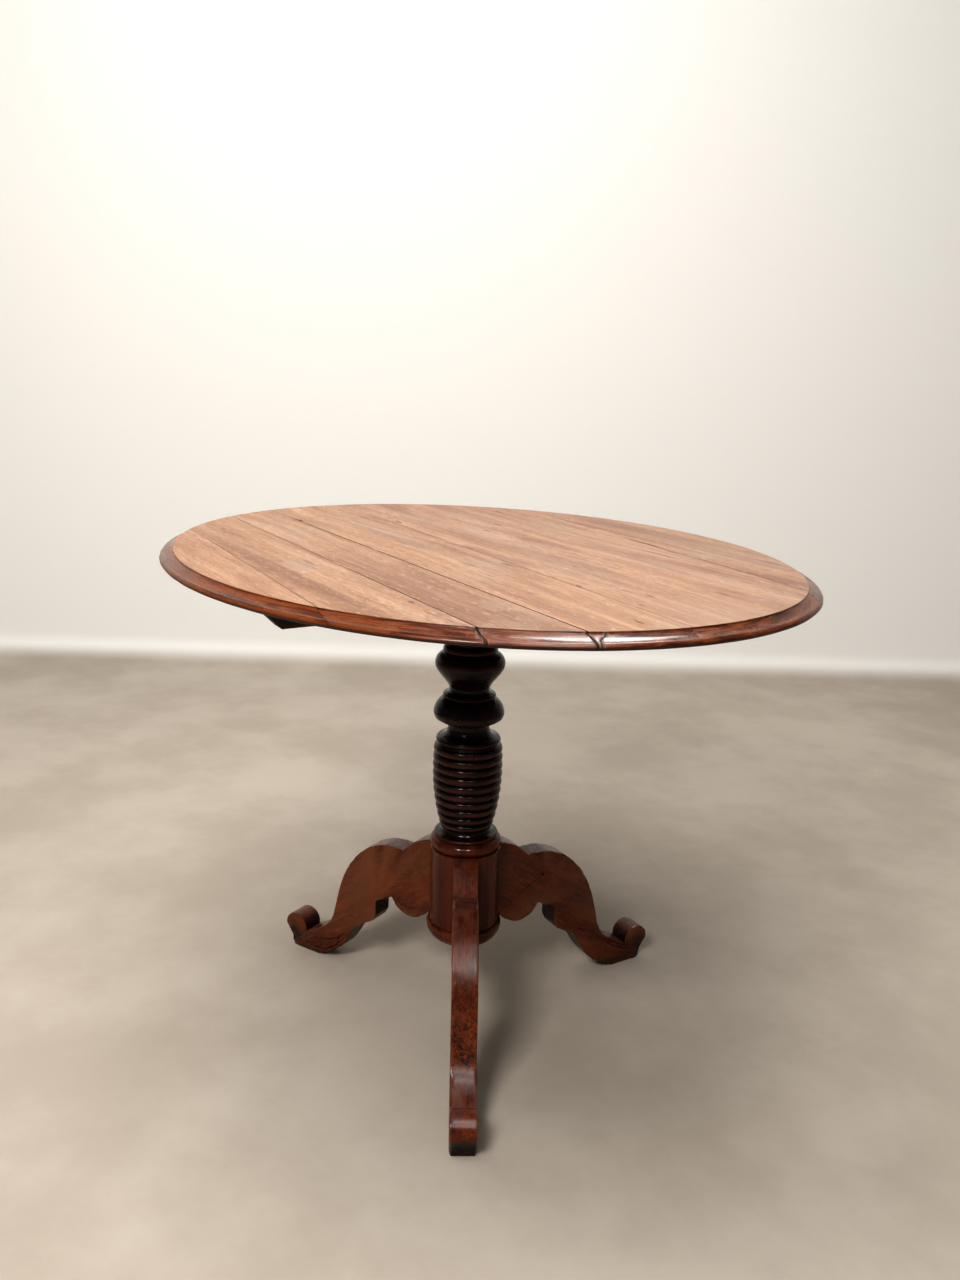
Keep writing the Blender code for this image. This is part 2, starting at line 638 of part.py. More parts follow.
def make_catch(boards, tilt_axis, bolt_axis):
    half, near, far, thick = CATCH_PLATE
    top = UNDERSIDE - GAP
    body = box("catch_body", (-half, near, top - thick), (half, far, top))
    for number, (low, high) in enumerate(CATCH_LUGS, start=1):
        lug = box(
            f"catch_lug_{number}",
            (-CATCH_LUG_HALF_WIDTH, low, BOLT_Z - BOLT_RADIUS - 0.0025),
            (CATCH_LUG_HALF_WIDTH, high, top - thick / 2),
            CUTTERS,
        )
        boolean(body, lug, "UNION")
    bore = rod("catch_bore", (0, near - 0.01, BOLT_Z), (0, far + 0.01, BOLT_Z), 0.0053, 20)
    boolean(body, bore)
    for number, (x, y) in enumerate(CATCH_SCREWS, start=1):
        hole = rod(
            f"catch_screw_hole_{number}", (x, y, top - 0.01), (x, y, UNDERSIDE + 0.0100),
            SCREW_HOLE, 8,
        )
        boolean(body, hole)
        boolean(board_at(boards, x, y), hole)
        head = top - thick - GAP - SCREW_HEAD_HEIGHT
        screw = wood_screw(f"catch_screw_{number}", (x, y, head), (0, 0, 1), 0.0140, "brass")
        attach(screw, tilt_axis)
    attach(finish(body, "brass"), tilt_axis)

    profile = (
        (0.0, BOLT_LENGTH), (BOLT_RADIUS - 0.0008, BOLT_LENGTH), (BOLT_RADIUS, BOLT_LENGTH - 0.0008),
        (BOLT_RADIUS, 0.003), (BOLT_RADIUS * 0.8, 0.0012), (BOLT_RADIUS * 0.45, 0.0), (0.0, 0.0),
    )
    bolt = turned("catch_bolt", profile, 20)
    bolt.data = evaluated_mesh(bolt)
    bolt.modifiers.clear()
    placed(bolt, turned_towards((0, 1, 0), (0, BOLT_TIP, BOLT_Z)))
    seat = rod(
        "knob_seat", (0, BOLT_KNOB_Y, BOLT_Z - 0.02), (0, BOLT_KNOB_Y, BOLT_Z - 0.0015),
        0.0021, 16,
    )
    boolean(bolt, seat)
    attach(finish(bolt, "brass"), bolt_axis)

    stem_top = BOLT_Z - 0.0018
    knob_profile = (
        (0.0, stem_top), (0.0018, stem_top), (0.0018, BOLT_Z - 0.0062), (0.0032, BOLT_Z - 0.0062),
        (0.0026, BOLT_Z - 0.0090), (0.0048, BOLT_Z - 0.0120), (0.0058, BOLT_Z - 0.0150),
        (0.0048, BOLT_Z - 0.0180), (0.0022, BOLT_Z - 0.0194), (0.0, BOLT_Z - 0.0196),
    )
    knob = turned("catch_knob", knob_profile, 20)
    knob.location = (0.0, BOLT_KNOB_Y, 0.0)
    attach(finish(knob, "brass"), bolt_axis)


# ---------------------------------------------------------------- joints' empties
def axis_empty(name, at):
    empty = bpy.data.objects.new(name, None)
    empty.location = at
    PARTS.objects.link(empty)
    return empty


def attach(obj, empty):
    """Makes a piece follow a joint's empty without moving it."""
    obj.parent = empty
    obj.matrix_parent_inverse = Matrix.Translation(-(empty.location + parent_offset(empty)))


def parent_offset(empty):
    return empty.parent.location if empty.parent else Vector((0.0, 0.0, 0.0))


def main():
    tilt_axis = axis_empty("tilt_axis", (0.0, PIVOT_Y, PIVOT_Z))
    bolt_axis = axis_empty("bolt_axis", (0.0, BOLT_TIP - PIVOT_Y, BOLT_Z - PIVOT_Z))
    bolt_axis.parent = tilt_axis

    boards = make_boards()
    make_bearers(boards, tilt_axis)
    make_column()
    make_base_cap()
    make_legs()
    make_block()
    make_strike(BLOCK_FRONT)
    make_catch(boards, tilt_axis, bolt_axis)
    for board in boards:
        attach(finish(board, "top_walnut"), tilt_axis)


main()
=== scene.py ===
import json
import math

import bmesh
import bpy
from mathutils import Matrix, Vector, noise


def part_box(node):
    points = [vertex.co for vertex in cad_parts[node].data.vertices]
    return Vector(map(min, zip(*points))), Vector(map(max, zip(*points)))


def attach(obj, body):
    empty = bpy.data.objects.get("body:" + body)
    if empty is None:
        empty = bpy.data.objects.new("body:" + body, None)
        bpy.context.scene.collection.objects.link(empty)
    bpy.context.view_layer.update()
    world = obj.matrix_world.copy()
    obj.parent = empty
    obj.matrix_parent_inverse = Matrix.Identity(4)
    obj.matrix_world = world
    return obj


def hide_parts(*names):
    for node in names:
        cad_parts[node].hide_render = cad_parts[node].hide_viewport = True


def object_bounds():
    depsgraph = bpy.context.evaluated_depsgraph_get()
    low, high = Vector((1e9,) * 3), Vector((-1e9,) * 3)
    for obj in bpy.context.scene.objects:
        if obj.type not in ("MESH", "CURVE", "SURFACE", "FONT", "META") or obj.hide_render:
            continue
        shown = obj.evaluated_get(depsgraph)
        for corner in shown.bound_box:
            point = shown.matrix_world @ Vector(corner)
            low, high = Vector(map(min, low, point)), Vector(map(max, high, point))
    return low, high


# The looks of the oval tilt-top table. Metres, in the CAD's own frame: +Z up, the origin on the
# floor on the column's axis, +X along the boards of the top, +Y along the bearers.

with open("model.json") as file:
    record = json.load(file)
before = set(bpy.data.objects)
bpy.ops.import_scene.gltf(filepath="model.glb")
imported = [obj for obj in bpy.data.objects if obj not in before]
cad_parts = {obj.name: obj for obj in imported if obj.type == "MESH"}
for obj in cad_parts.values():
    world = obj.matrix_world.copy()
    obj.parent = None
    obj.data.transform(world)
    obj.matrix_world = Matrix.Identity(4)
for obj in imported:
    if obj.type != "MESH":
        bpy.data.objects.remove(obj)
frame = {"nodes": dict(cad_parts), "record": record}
cad_low, cad_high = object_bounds()

# ---------------------------------------------------------------- driving sizes, from the frame
TOP_NODES = [f"top_board_{number}" for number in range(1, 7)]
LEG_AZIMUTHS = {"leg_front": -28.8, "leg_side": 90.0, "leg_back": 207.0}

HEIGHT = cad_high[2]
SEMI_X = (cad_high[0] - cad_low[0]) / 2
SEMI_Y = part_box("top_board_6")[1].y
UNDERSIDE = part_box("top_board_4")[0].z
THICK = HEIGHT - UNDERSIDE
HUB_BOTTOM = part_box("column")[0].z
HUB_RADIUS = 0.0535
TENON_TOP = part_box("column")[1].z
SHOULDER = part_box("pivot_block")[0].z - 0.0003
CAP_LOW, CAP_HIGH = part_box("base_cap")
LEG_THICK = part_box("leg_side")[1].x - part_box("leg_side")[0].x


# ---------------------------------------------------------------- small helpers
def new_piece(name, mesh):
    obj = bpy.data.objects.new(name, mesh)
    bpy.context.scene.collection.objects.link(obj)
    return obj


def piece_from(name, work):
    """Turns a bmesh into an object with its faces pointing out."""
    bmesh.ops.recalc_face_normals(work, faces=work.faces)
    mesh = bpy.data.meshes.new(name)
    work.to_mesh(mesh)
    work.free()
    return new_piece(name, mesh)


def smooth(obj, degrees=32.0):
    obj.data.shade_smooth()
    obj.data.set_sharp_from_angle(angle=math.radians(degrees))
    return obj


def dress(obj, material):
    obj.data.materials.clear()
    obj.data.materials.append(material)


def applied(obj):
    """Bakes an object's modifiers into its mesh."""
    bpy.context.view_layer.update()
    graph = bpy.context.evaluated_depsgraph_get()
    mesh = bpy.data.meshes.new_from_object(obj.evaluated_get(graph))
    obj.modifiers.clear()
    obj.data = mesh
    return obj


def cut(obj, cutters):
    """Cuts meshes out of a piece and removes them."""
    for number, cutter in enumerate(cutters):
        modifier = obj.modifiers.new(f"cut_{number}", "BOOLEAN")
        modifier.operation = "DIFFERENCE"
        modifier.object = cutter
        modifier.solver = "EXACT"
    applied(obj)
    for cutter in cutters:
        bpy.data.objects.remove(cutter, do_unlink=True)
    return obj


def wear(point, scale, seed=0.0):
    """Smooth noise from -1 to 1."""
    return noise.noise(Vector(point) * scale + Vector((seed, seed * 1.7, -seed)))


def smooth_run(points, steps):
    """A Catmull-Rom curve through points; a corner is where one run ends and the next begins."""
    points = [Vector(p) for p in points]
    ends = [2 * points[0] - points[1], *points, 2 * points[-1] - points[-2]]
    run = []
    for before, start, end, after in zip(ends, ends[1:], ends[2:], ends[3:]):
        for i in range(steps):
            t = i / steps
            run.append(0.5 * (
                2 * start + (end - before) * t
                + (2 * before - 5 * start + 4 * end - after) * t ** 2
                + (3 * start - before - 3 * end + after) * t ** 3
            ))
    return [tuple(p) for p in run] + [tuple(points[-1])]


def arc(centre, radius, from_degrees, to_degrees, steps):
    run = []
    for i in range(steps + 1):
        angle = math.radians(from_degrees + (to_degrees - from_degrees) * i / steps)
        run.append((centre[0] + radius * math.cos(angle), centre[1] + radius * math.sin(angle)))
    return run


def lathe(name, profile, segments, wobble):
    """A solid turned about Z from (radius, z) points. Wobble is a hand-turned unevenness in metres."""
    work = bmesh.new()
    rings = []
    for radius, z in profile:
        if radius < 1e-6:
            rings.append([work.verts.new((0.0, 0.0, z))])
            continue
        ring = []
        for i in range(segments):
            angle = 2 * math.pi * i / segments
            spot = (math.cos(angle), math.sin(angle), z * 8.0)
            size = radius + wobble * wear(spot, 1.3)
            ring.append(work.verts.new((size * math.cos(angle), size * math.sin(angle), z)))
        rings.append(ring)
    for upper, lower in zip(rings, rings[1:]):
        for i in range(segments):
            j = (i + 1) % segments
            corners = [upper[i % len(upper)], upper[j % len(upper)]]
            corners += [lower[j % len(lower)], lower[i % len(lower)]]
            unique = list(dict.fromkeys(corners))
            if len(unique) > 2:
                work.faces.new(unique)
    return piece_from(name, work)


def fade(value, low, high):
    share = min(max((value - low) / (high - low), 0.0), 1.0)
    return share * share * (3 - 2 * share)


def jagged(corners, steps, sway, seed):
    """A wandering line through corners in a plane."""
    points = []
    for start, end in zip(corners, corners[1:]):
        start, end = Vector(start), Vector(end)
        side = Vector((start.y - end.y, end.x - start.x)).normalized()
        for i in range(steps):
            spot = start.lerp(end, i / steps)
            points.append(spot + side * sway * wear((spot.x, spot.y, seed), 140.0, seed))
    return points + [Vector(corners[-1])]


def join_rows(work, rows):
    """Faces between closed rows of vertices."""
    for one, two in zip(rows, rows[1:]):
        for i in range(len(one)):
            j = (i + 1) % len(one)
            work.faces.new((one[i], one[j], two[j], two[i]))


def sliver(points, width, low, high, axis="Z", dark=1.0):
    """A crack's cutter: a thin blade that tapers to both ends, from low to high along an axis. Its dark
    layer carries a painted shade onto the crack's walls.
    """
    order = {"X": (1, 2, 0), "Y": (0, 2, 1), "Z": (0, 1, 2)}[axis]
    work = bmesh.new()
    layer = work.verts.layers.float.new("dark")
    rows = []
    for i, point in enumerate(points):
        before, after = points[max(i - 1, 0)], points[min(i + 1, len(points) - 1)]
        side = Vector((before.y - after.y, after.x - before.x)).normalized()
        side *= width / 2 * (0.12 + 0.88 * math.sin(math.pi * (i + 0.5) / len(points)))
        row = []
        left, right = point + side, point - side
        for spot, level in ((left, low), (left, high), (right, high), (right, low)):
            place = [0.0, 0.0, 0.0]
            for slot, value in zip(order, (spot.x, spot.y, level)):
                place[slot] = value
            vert = work.verts.new(place)
            vert[layer] = dark
            row.append(vert)
        rows.append(row)
    join_rows(work, rows)
    work.faces.new(rows[0])
    work.faces.new(rows[-1])
    return piece_from("sliver", work)


# ---------------------------------------------------------------- material building
class Nodes:
    """A short way to write a node tree. Every call returns an output socket."""

    def __init__(self, name):
        self.material = bpy.data.materials.new(name)
        self.material.use_nodes = True
        self.tree = self.material.node_tree
        self.shader = self.tree.nodes["Principled BSDF"]
        self.object = self.new("ShaderNodeTexCoord").outputs["Object"]

    def new(self, kind, **settings):
        node = self.tree.nodes.new(kind)
        for key, value in settings.items():
            setattr(node, key, value)
        return node

    def put(self, socket, value):
        if isinstance(value, bpy.types.NodeSocket):
            self.tree.links.new(value, socket)
        elif hasattr(socket.default_value, "__len__") and not hasattr(value, "__len__"):
            socket.default_value = [value] * len(socket.default_value)
        elif socket.type == "RGBA" and len(value) == 3:
            socket.default_value = (*value, 1.0)
        else:
            socket.default_value = value

    def math(self, operation, a, b=0.0, clamp=False):
        node = self.new("ShaderNodeMath", operation=operation, use_clamp=clamp)
        self.put(node.inputs[0], a)
        self.put(node.inputs[1], b)
        return node.outputs[0]

    def vector(self, operation, a, b=(0.0, 0.0, 0.0)):
        node = self.new("ShaderNodeVectorMath", operation=operation)
        self.put(node.inputs[0], a)
        self.put(node.inputs[1], b)
        return node.outputs["Value" if operation == "LENGTH" else "Vector"]

    def times(self, a, b, clamp=False):
        return self.math("MULTIPLY", a, b, clamp)

    def placed(self, rotation, location=(0.0, 0.0, 0.0)):
        node = self.new("ShaderNodeMapping", vector_type="POINT")
        self.put(node.inputs["Vector"], self.object)
        self.put(node.inputs["Rotation"], rotation)
        self.put(node.inputs["Location"], location)
        return node.outputs[0]

    def noise(self, vector, scale=1.0, detail=4.0, roughness=0.5, distortion=0.0):
        node = self.new("ShaderNodeTexNoise")
        self.put(node.inputs["Vector"], vector)
        self.put(node.inputs["Scale"], scale)
        self.put(node.inputs["Detail"], detail)
        self.put(node.inputs["Roughness"], roughness)
        self.put(node.inputs["Distortion"], distortion)
        return node.outputs["Fac"]

    def streaky(self, source, stretch, *settings):
        """Noise of a stretched vector. The settings are noise's own, after its scale."""
        return self.noise(self.vector("MULTIPLY", source, stretch), 1.0, *settings)

    def cells(self, vector, scale):
        node = self.new("ShaderNodeTexVoronoi")
        self.put(node.inputs["Vector"], vector)
        self.put(node.inputs["Scale"], scale)
        return node.outputs["Distance"]

    def part(self, value, low, high, to_low=0.0, to_high=1.0):
        node = self.new("ShaderNodeMapRange", interpolation_type="SMOOTHSTEP")
        self.put(node.inputs["Value"], value)
        for socket, number in zip(node.inputs[1:5], (low, high, to_low, to_high)):
            self.put(socket, number)
        return node.outputs[0]

    def mix(self, share, a, b, blend="MIX"):
        node = self.new("ShaderNodeMix", data_type="RGBA", blend_type=blend)
        self.put(node.inputs[0], share)
        self.put(node.inputs[6], a)
        self.put(node.inputs[7], b)
        return node.outputs[2]

    def ramp(self, value, *stops):
        node = self.new("ShaderNodeValToRGB")
        self.put(node.inputs[0], value)
        points = node.color_ramp.elements
        while len(points) < len(stops):
            points.new(0.5)
        for point, (place, colour) in zip(points, stops):
            point.position = place
            point.color = (*colour, 1.0)
        return node.outputs[0]

    def attribute(self, name):
        return self.new("ShaderNodeAttribute", attribute_name=name).outputs["Fac"]

    def axis(self, which, source=None):
        node = self.new("ShaderNodeSeparateXYZ")
        self.put(node.inputs[0], source or self.object)
        return node.outputs["XYZ".index(which)]

    def facing(self):
        """The direction the surface faces, in the piece's own axes."""
        node = self.new("ShaderNodeNewGeometry")
        turn = self.new(
            "ShaderNodeVectorTransform", vector_type="NORMAL", convert_from="WORLD", convert_to="OBJECT"
        )
        self.put(turn.inputs[0], node.outputs["Normal"])
        return turn.outputs[0]

    def slope(self, which):
        """How far the surface faces along an axis of the piece, from -1 to 1."""
        return self.axis(which, self.facing())

    def turned(self, vector, kind, degrees):
        node = self.new("ShaderNodeVectorRotate", rotation_type=kind)
        self.put(node.inputs["Vector"], vector)
        self.put(node.inputs["Angle"], math.radians(degrees))
        return node.outputs[0]

    def bump(self, height, distance, strength=1.0, under=None):
        node = self.new("ShaderNodeBump")
        self.put(node.inputs["Height"], height)
        self.put(node.inputs["Distance"], distance)
        self.put(node.inputs["Strength"], strength)
        if under is not None:
            self.put(node.inputs["Normal"], under)
        return node.outputs[0]

    def done(self, **inputs):
        for key, value in inputs.items():
            self.put(self.shader.inputs[key.replace("_", " ")], value)
        return self.material


def grain(n, along):
    """The streaks, fine lines and pores of wood that run along a vector's X."""
    streaks = n.streaky(along, (1.6, 45.0, 45.0), 6.0, 0.62, 0.25)
    lines = n.streaky(along, (5.0, 420.0, 420.0), 3.0, 0.6)
    pore_field = n.streaky(along, (55.0, 1400.0, 1400.0), 2.0, 0.5)
    pores = n.part(pore_field, 0.60, 0.70)
    return streaks, lines, pores


def top_material(name, seed, tint, marks, seams):
    """Faded waxed walnut: honey streaks with grey-brown bands, fine pores and old marks."""
    n = Nodes(name)
    along = n.vector("ADD", n.object, (seed * 0.7, seed * 0.13, seed * 0.31))
    warp = n.streaky(along, (2.2, 5.0, 5.0), 3.0, 0.5)
    bend = n.new("ShaderNodeCombineXYZ")
    n.put(bend.inputs["Y"], n.times(n.math("SUBTRACT", warp, 0.5), 0.05))
    bent = n.vector("ADD", along, bend.outputs[0])
    bands = n.streaky(bent, (1.9, 15.0, 15.0), 5.0, 0.60, 0.4)
    streaks, lines, pores = grain(n, bent)
    honey = n.ramp(
        bands, (0.36, (0.36, 0.170, 0.078)), (0.46, (0.57, 0.315, 0.158)),
        (0.56, (0.74, 0.440, 0.232)), (0.66, (0.42, 0.212, 0.104)),
    )
    colour = n.mix(1.0, honey, tint, "MULTIPLY")
    deep = n.mix(1.0, colour, (0.60, 0.51, 0.46), "MULTIPLY")
    colour = n.mix(n.part(streaks, 0.34, 0.64, 0.25, 0.85), deep, colour)
    colour = n.mix(n.part(lines, 0.35, 0.6, 0.50, 0.0), colour, (0.20, 0.085, 0.035))
    colour = n.mix(n.times(pores, 0.60), colour, (0.10, 0.04, 0.018))
    blotch = n.streaky(along, (5.0, 9.0, 9.0), 5.0, 0.6)
    colour = n.mix(n.part(blotch, 0.50, 0.68, 0.0, 0.50), colour, (0.28, 0.18, 0.12))
    # Short darker flecks of the grain, thick in some places and thin in others.
    fleck = n.streaky(along, (42.0, 330.0, 330.0), 3.0, 0.62, 0.6)
    crowd = n.streaky(along, (3.0, 11.0, 11.0), 3.0, 0.6)
    flecks = n.times(n.part(fleck, 0.52, 0.62), n.part(crowd, 0.34, 0.62, 0.25, 1.0))
    colour = n.mix(n.times(flecks, 0.78), colour, (0.15, 0.060, 0.028))
    pale = n.streaky(along, (60.0, 240.0, 240.0), 3.0, 0.6, 0.4)
    colour = n.mix(n.part(pale, 0.56, 0.70, 0.0, 0.30), colour, (0.72, 0.47, 0.29))
    grey = n.mix(n.part(streaks, 0.3, 0.7), (0.16, 0.10, 0.072), (0.36, 0.25, 0.19))
    colour = n.mix(n.attribute("grey"), colour, grey)
    ragged = n.streaky(along, (60.0, 190.0, 190.0), 4.0, 0.65)
    for centre, reach, strength in marks:
        away = n.vector("SUBTRACT", n.object, (*centre, HEIGHT))
        away = n.vector("LENGTH", n.vector("MULTIPLY", away, (1 / reach[0], 1 / reach[1], 0.0)))
        spot = n.part(n.math("ADD", away, n.times(ragged, 0.9)), 0.70, 1.45, strength, 0.0)
        colour = n.mix(spot, colour, (0.045, 0.018, 0.010))
    # Old wax and dirt darken the wood beside each joint.
    for left, right, start, strength in seams:
        run = (right - left) / (2 * SEMI_X)
        line = n.math("ADD", n.times(n.axis("X"), run), (left + right) / 2)
        away = n.math("ABSOLUTE", n.math("SUBTRACT", n.axis("Y"), line))
        away = n.math("ADD", away, n.times(ragged, 0.0012))
        opened = n.part(n.axis("X"), start - 0.06, start + 0.06, 0.22 * strength, strength)
        dirt = n.times(n.part(away, 0.0011, 0.0024, 1.0, 0.0), opened)
        colour = n.mix(dirt, colour, (0.060, 0.024, 0.013))
    speck = n.cells(n.vector("MULTIPLY", along, (1.0, 1.6, 1.0)), 95.0)
    specks = n.times(n.part(speck, 0.05, 0.12, 1.0, 0.0), n.part(blotch, 0.46, 0.60))
    colour = n.mix(n.times(specks, 0.75), colour, (0.09, 0.035, 0.02))

    # The moulded rim keeps its old dark red polish, and the end grain is darker still.
    rim = n.attribute("rim")
    rim_streaks = n.streaky(along, (9.0, 22.0, 300.0), 5.0, 0.6, 0.4)
    rim_colour = n.ramp(
        rim_streaks, (0.30, (0.021, 0.0042, 0.0013)), (0.44, (0.070, 0.0150, 0.0038)),
        (0.58, (0.150, 0.0370, 0.0085)), (0.74, (0.058, 0.0135, 0.0038)),
    )
    rim_spots = n.part(n.noise(along, 130.0, 5.0, 0.7), 0.56, 0.72, 0.0, 0.6)
    rim_colour = n.mix(rim_spots, rim_colour, (0.020, 0.006, 0.003))
    rim_colour = n.mix(n.attribute("rub"), rim_colour, (0.060, 0.026, 0.015))
    colour = n.mix(rim, colour, rim_colour)
    # The dark layer is painted shade: in the quirk, where the nose turns under, on the underside, and in
    # the joints' gaps and the cracks.
    colour = n.mix(n.attribute("dark"), colour, (0.022, 0.009, 0.006))

    height = n.math("SUBTRACT", n.times(lines, 0.5), pores)
    height = n.math("SUBTRACT", height, n.times(specks, 2.0))
    ripple = n.streaky(along, (7.0, 16.0, 16.0), 2.0, 0.5)
    normal = n.bump(height, 0.00010, 0.55, n.bump(ripple, 0.0009, 0.35))
    rough = n.part(streaks, 0.3, 0.7, 0.50, 0.40)
    rough = n.mix(rim, rough, n.part(rim_streaks, 0.35, 0.75, 0.17, 0.34))
    rough = n.math("ADD", rough, n.times(n.attribute("dark"), 0.35))
    return n.done(Base_Color=colour, Roughness=rough, Normal=normal, Specular_IOR_Level=0.28)


def dark_polish(name, hub):
    """Near-black French polish with the red wood showing through where it is thin."""
    n = Nodes(name)
    along = n.placed((0.0, math.radians(90.0), 0.0))
    streaks, lines, pores = grain(n, along)
    thin = n.streaky(n.object, (22.0, 22.0, 5.0), 4.0, 0.6)
    dark = n.ramp(
        thin, (0.35, (0.0030, 0.0009, 0.0007)), (0.55, (0.008, 0.0022, 0.0014)),
        (0.75, (0.026, 0.0062, 0.0030)),
    )
    red = n.ramp(
        streaks, (0.30, (0.018, 0.0032, 0.0011)), (0.48, (0.062, 0.0105, 0.0026)),
        (0.66, (0.120, 0.0230, 0.0052)),
    )
    low = n.part(n.axis("Z"), hub - 0.004, hub + 0.006, 1.0, 0.0)
    colour = n.mix(low, dark, red)
    colour = n.mix(n.times(pores, 0.5), colour, (0.006, 0.002, 0.0015))
    # Rib crests and arrises show a redder wood: partly rubbed wear, partly painted light on the lit upper
    # part of each rib. The hollows stay near-black.
    redder_wood = n.attribute("crest")
    colour = n.mix(n.times(redder_wood, 0.7), colour, (0.105, 0.025, 0.010))
    dust = n.part(n.noise(n.object, 90.0, 3.0, 0.6), 0.45, 0.7, 0.0, 0.07)
    up = n.part(n.slope("Z"), 0.55, 0.95)
    colour = n.mix(n.times(dust, up), colour, (0.20, 0.16, 0.13))
    height = n.math("SUBTRACT", n.times(lines, 0.4), n.times(pores, 0.8))
    rings = n.streaky(n.object, (3.0, 3.0, 900.0), 2.0, 0.5)
    normal = n.bump(height, 0.00007, 0.5, n.bump(rings, 0.00005, 0.4))
    rough = n.part(thin, 0.3, 0.7, 0.17, 0.30)
    return n.done(Base_Color=colour, Roughness=rough, Normal=normal, Specular_IOR_Level=0.20)


def leg_material(name, azimuth, seed, light_tone):
    """Red-brown walnut with its grain on the slant, dusty and with a painted sheen on top, painted shade
    on the faces that look down or inward, and scuffed at the foot.
    """
    n = Nodes(name)
    # Turns the grain from the plank's own length to the leg's azimuth and slope.
    own = n.turned(n.object, "Z_AXIS", -azimuth)
    sloped = n.turned(own, "Y_AXIS", -34.0)
    shifted = n.vector("ADD", sloped, (seed, seed * 0.37, seed * 0.61))
    warp = n.streaky(shifted, (6.0, 12.0, 12.0), 3.0, 0.5)
    bend = n.new("ShaderNodeCombineXYZ")
    n.put(bend.inputs["Z"], n.times(n.math("SUBTRACT", warp, 0.5), 0.012))
    along = n.vector("ADD", shifted, bend.outputs[0])
    streaks, lines, pores = grain(n, along)
    finer = n.streaky(along, (14.0, 110.0, 110.0), 5.0, 0.65, 0.3)
    streaks = n.mix(0.45, streaks, finer)
    colour = n.ramp(
        streaks, (0.30, (0.034, 0.0058, 0.0012)), (0.44, (0.115, 0.0215, 0.0036)),
        (0.58, (0.195, 0.0420, 0.0075)), (0.72, (0.095, 0.0180, 0.0034)),
    )
    # Painted light and shade: the whole colour is scaled by the leg's light tone, which also warms its
    # hue.
    colour = n.mix(1.0, colour, (light_tone, light_tone * 0.84, light_tone * 0.66), "MULTIPLY")
    fleck = n.streaky(along, (45.0, 380.0, 380.0), 3.0, 0.65, 0.5)
    colour = n.mix(n.part(fleck, 0.51, 0.63, 0.0, 0.70), colour, (0.026, 0.0045, 0.0012))
    colour = n.mix(n.part(fleck, 0.34, 0.46, 0.35, 0.0), colour, (0.320, 0.090, 0.020))
    patch = n.streaky(own, (14.0, 14.0, 14.0), 4.0, 0.6)
    deep = n.mix(1.0, colour, (0.48, 0.42, 0.40), "MULTIPLY")
    colour = n.mix(n.part(patch, 0.42, 0.62, 0.55, 0.0), colour, deep)
    colour = n.mix(n.part(lines, 0.35, 0.6, 0.4, 0.0), colour, (0.022, 0.006, 0.003))
    colour = n.mix(n.times(pores, 0.6), colour, (0.010, 0.003, 0.002))
    colour = n.mix(n.attribute("rub"), colour, (0.170, 0.054, 0.019))
    mottle = n.noise(own, 120.0, 5.0, 0.7)
    if name.startswith("leg_front"):
        # The shin below the knee is pitted and stained.
        out = n.axis("X", own)
        shin = n.times(n.part(out, 0.228, 0.244), n.part(out, 0.262, 0.290, 1.0, 0.0))
        pits = n.times(n.part(mottle, 0.50, 0.58, 0.0, 0.85), shin)
        colour = n.mix(pits, colour, (0.012, 0.0040, 0.0022))
    # The dark layer: painted shade in the splits and the nail hole, and a darker toe and lowest part of
    # the foot.
    painted_shade_and_dark_foot = n.times(n.attribute("dark"), n.part(mottle, 0.38, 0.58, 0.75, 1.6), True)
    colour = n.mix(painted_shade_and_dark_foot, colour, (0.006, 0.0028, 0.0020))
    # The faces that look down or in towards the column are painted in shade, near-black.
    painted_shade = (0.004, 0.0020, 0.0016)
    colour = n.mix(n.part(n.slope("Z"), -0.75, -0.25, 0.85, 0.0), colour, painted_shade)
    inward = n.axis("X", n.turned(n.facing(), "Z_AXIS", -azimuth))
    colour = n.mix(n.part(inward, -0.90, -0.55, 0.85, 0.0), colour, painted_shade)
    # Upward faces get a pale grey film: partly dust, partly a painted sheen.
    up = n.part(n.slope("Z"), 0.50, 0.92)
    dust_and_sheen = n.part(n.noise(own, 55.0, 5.0, 0.65), 0.35, 0.70, 0.05, 0.55)
    colour = n.mix(n.times(up, dust_and_sheen), colour, (0.105, 0.064, 0.058))
    scuff = n.streaky(own, (60.0, 160.0, 60.0), 4.0, 0.7)
    normal = n.bump(
        n.math("SUBTRACT", n.times(lines, 0.5), n.times(pores, 0.9)), 0.00012, 0.6,
        n.bump(scuff, 0.00035, n.math("ADD", 0.12, n.times(n.attribute("dark"), 0.7))),
    )
    rough = n.math("ADD", n.part(patch, 0.3, 0.7, 0.22, 0.36), n.times(n.attribute("dark"), 0.3))
    return n.done(Base_Color=colour, Roughness=rough, Normal=normal, Specular_IOR_Level=0.26)


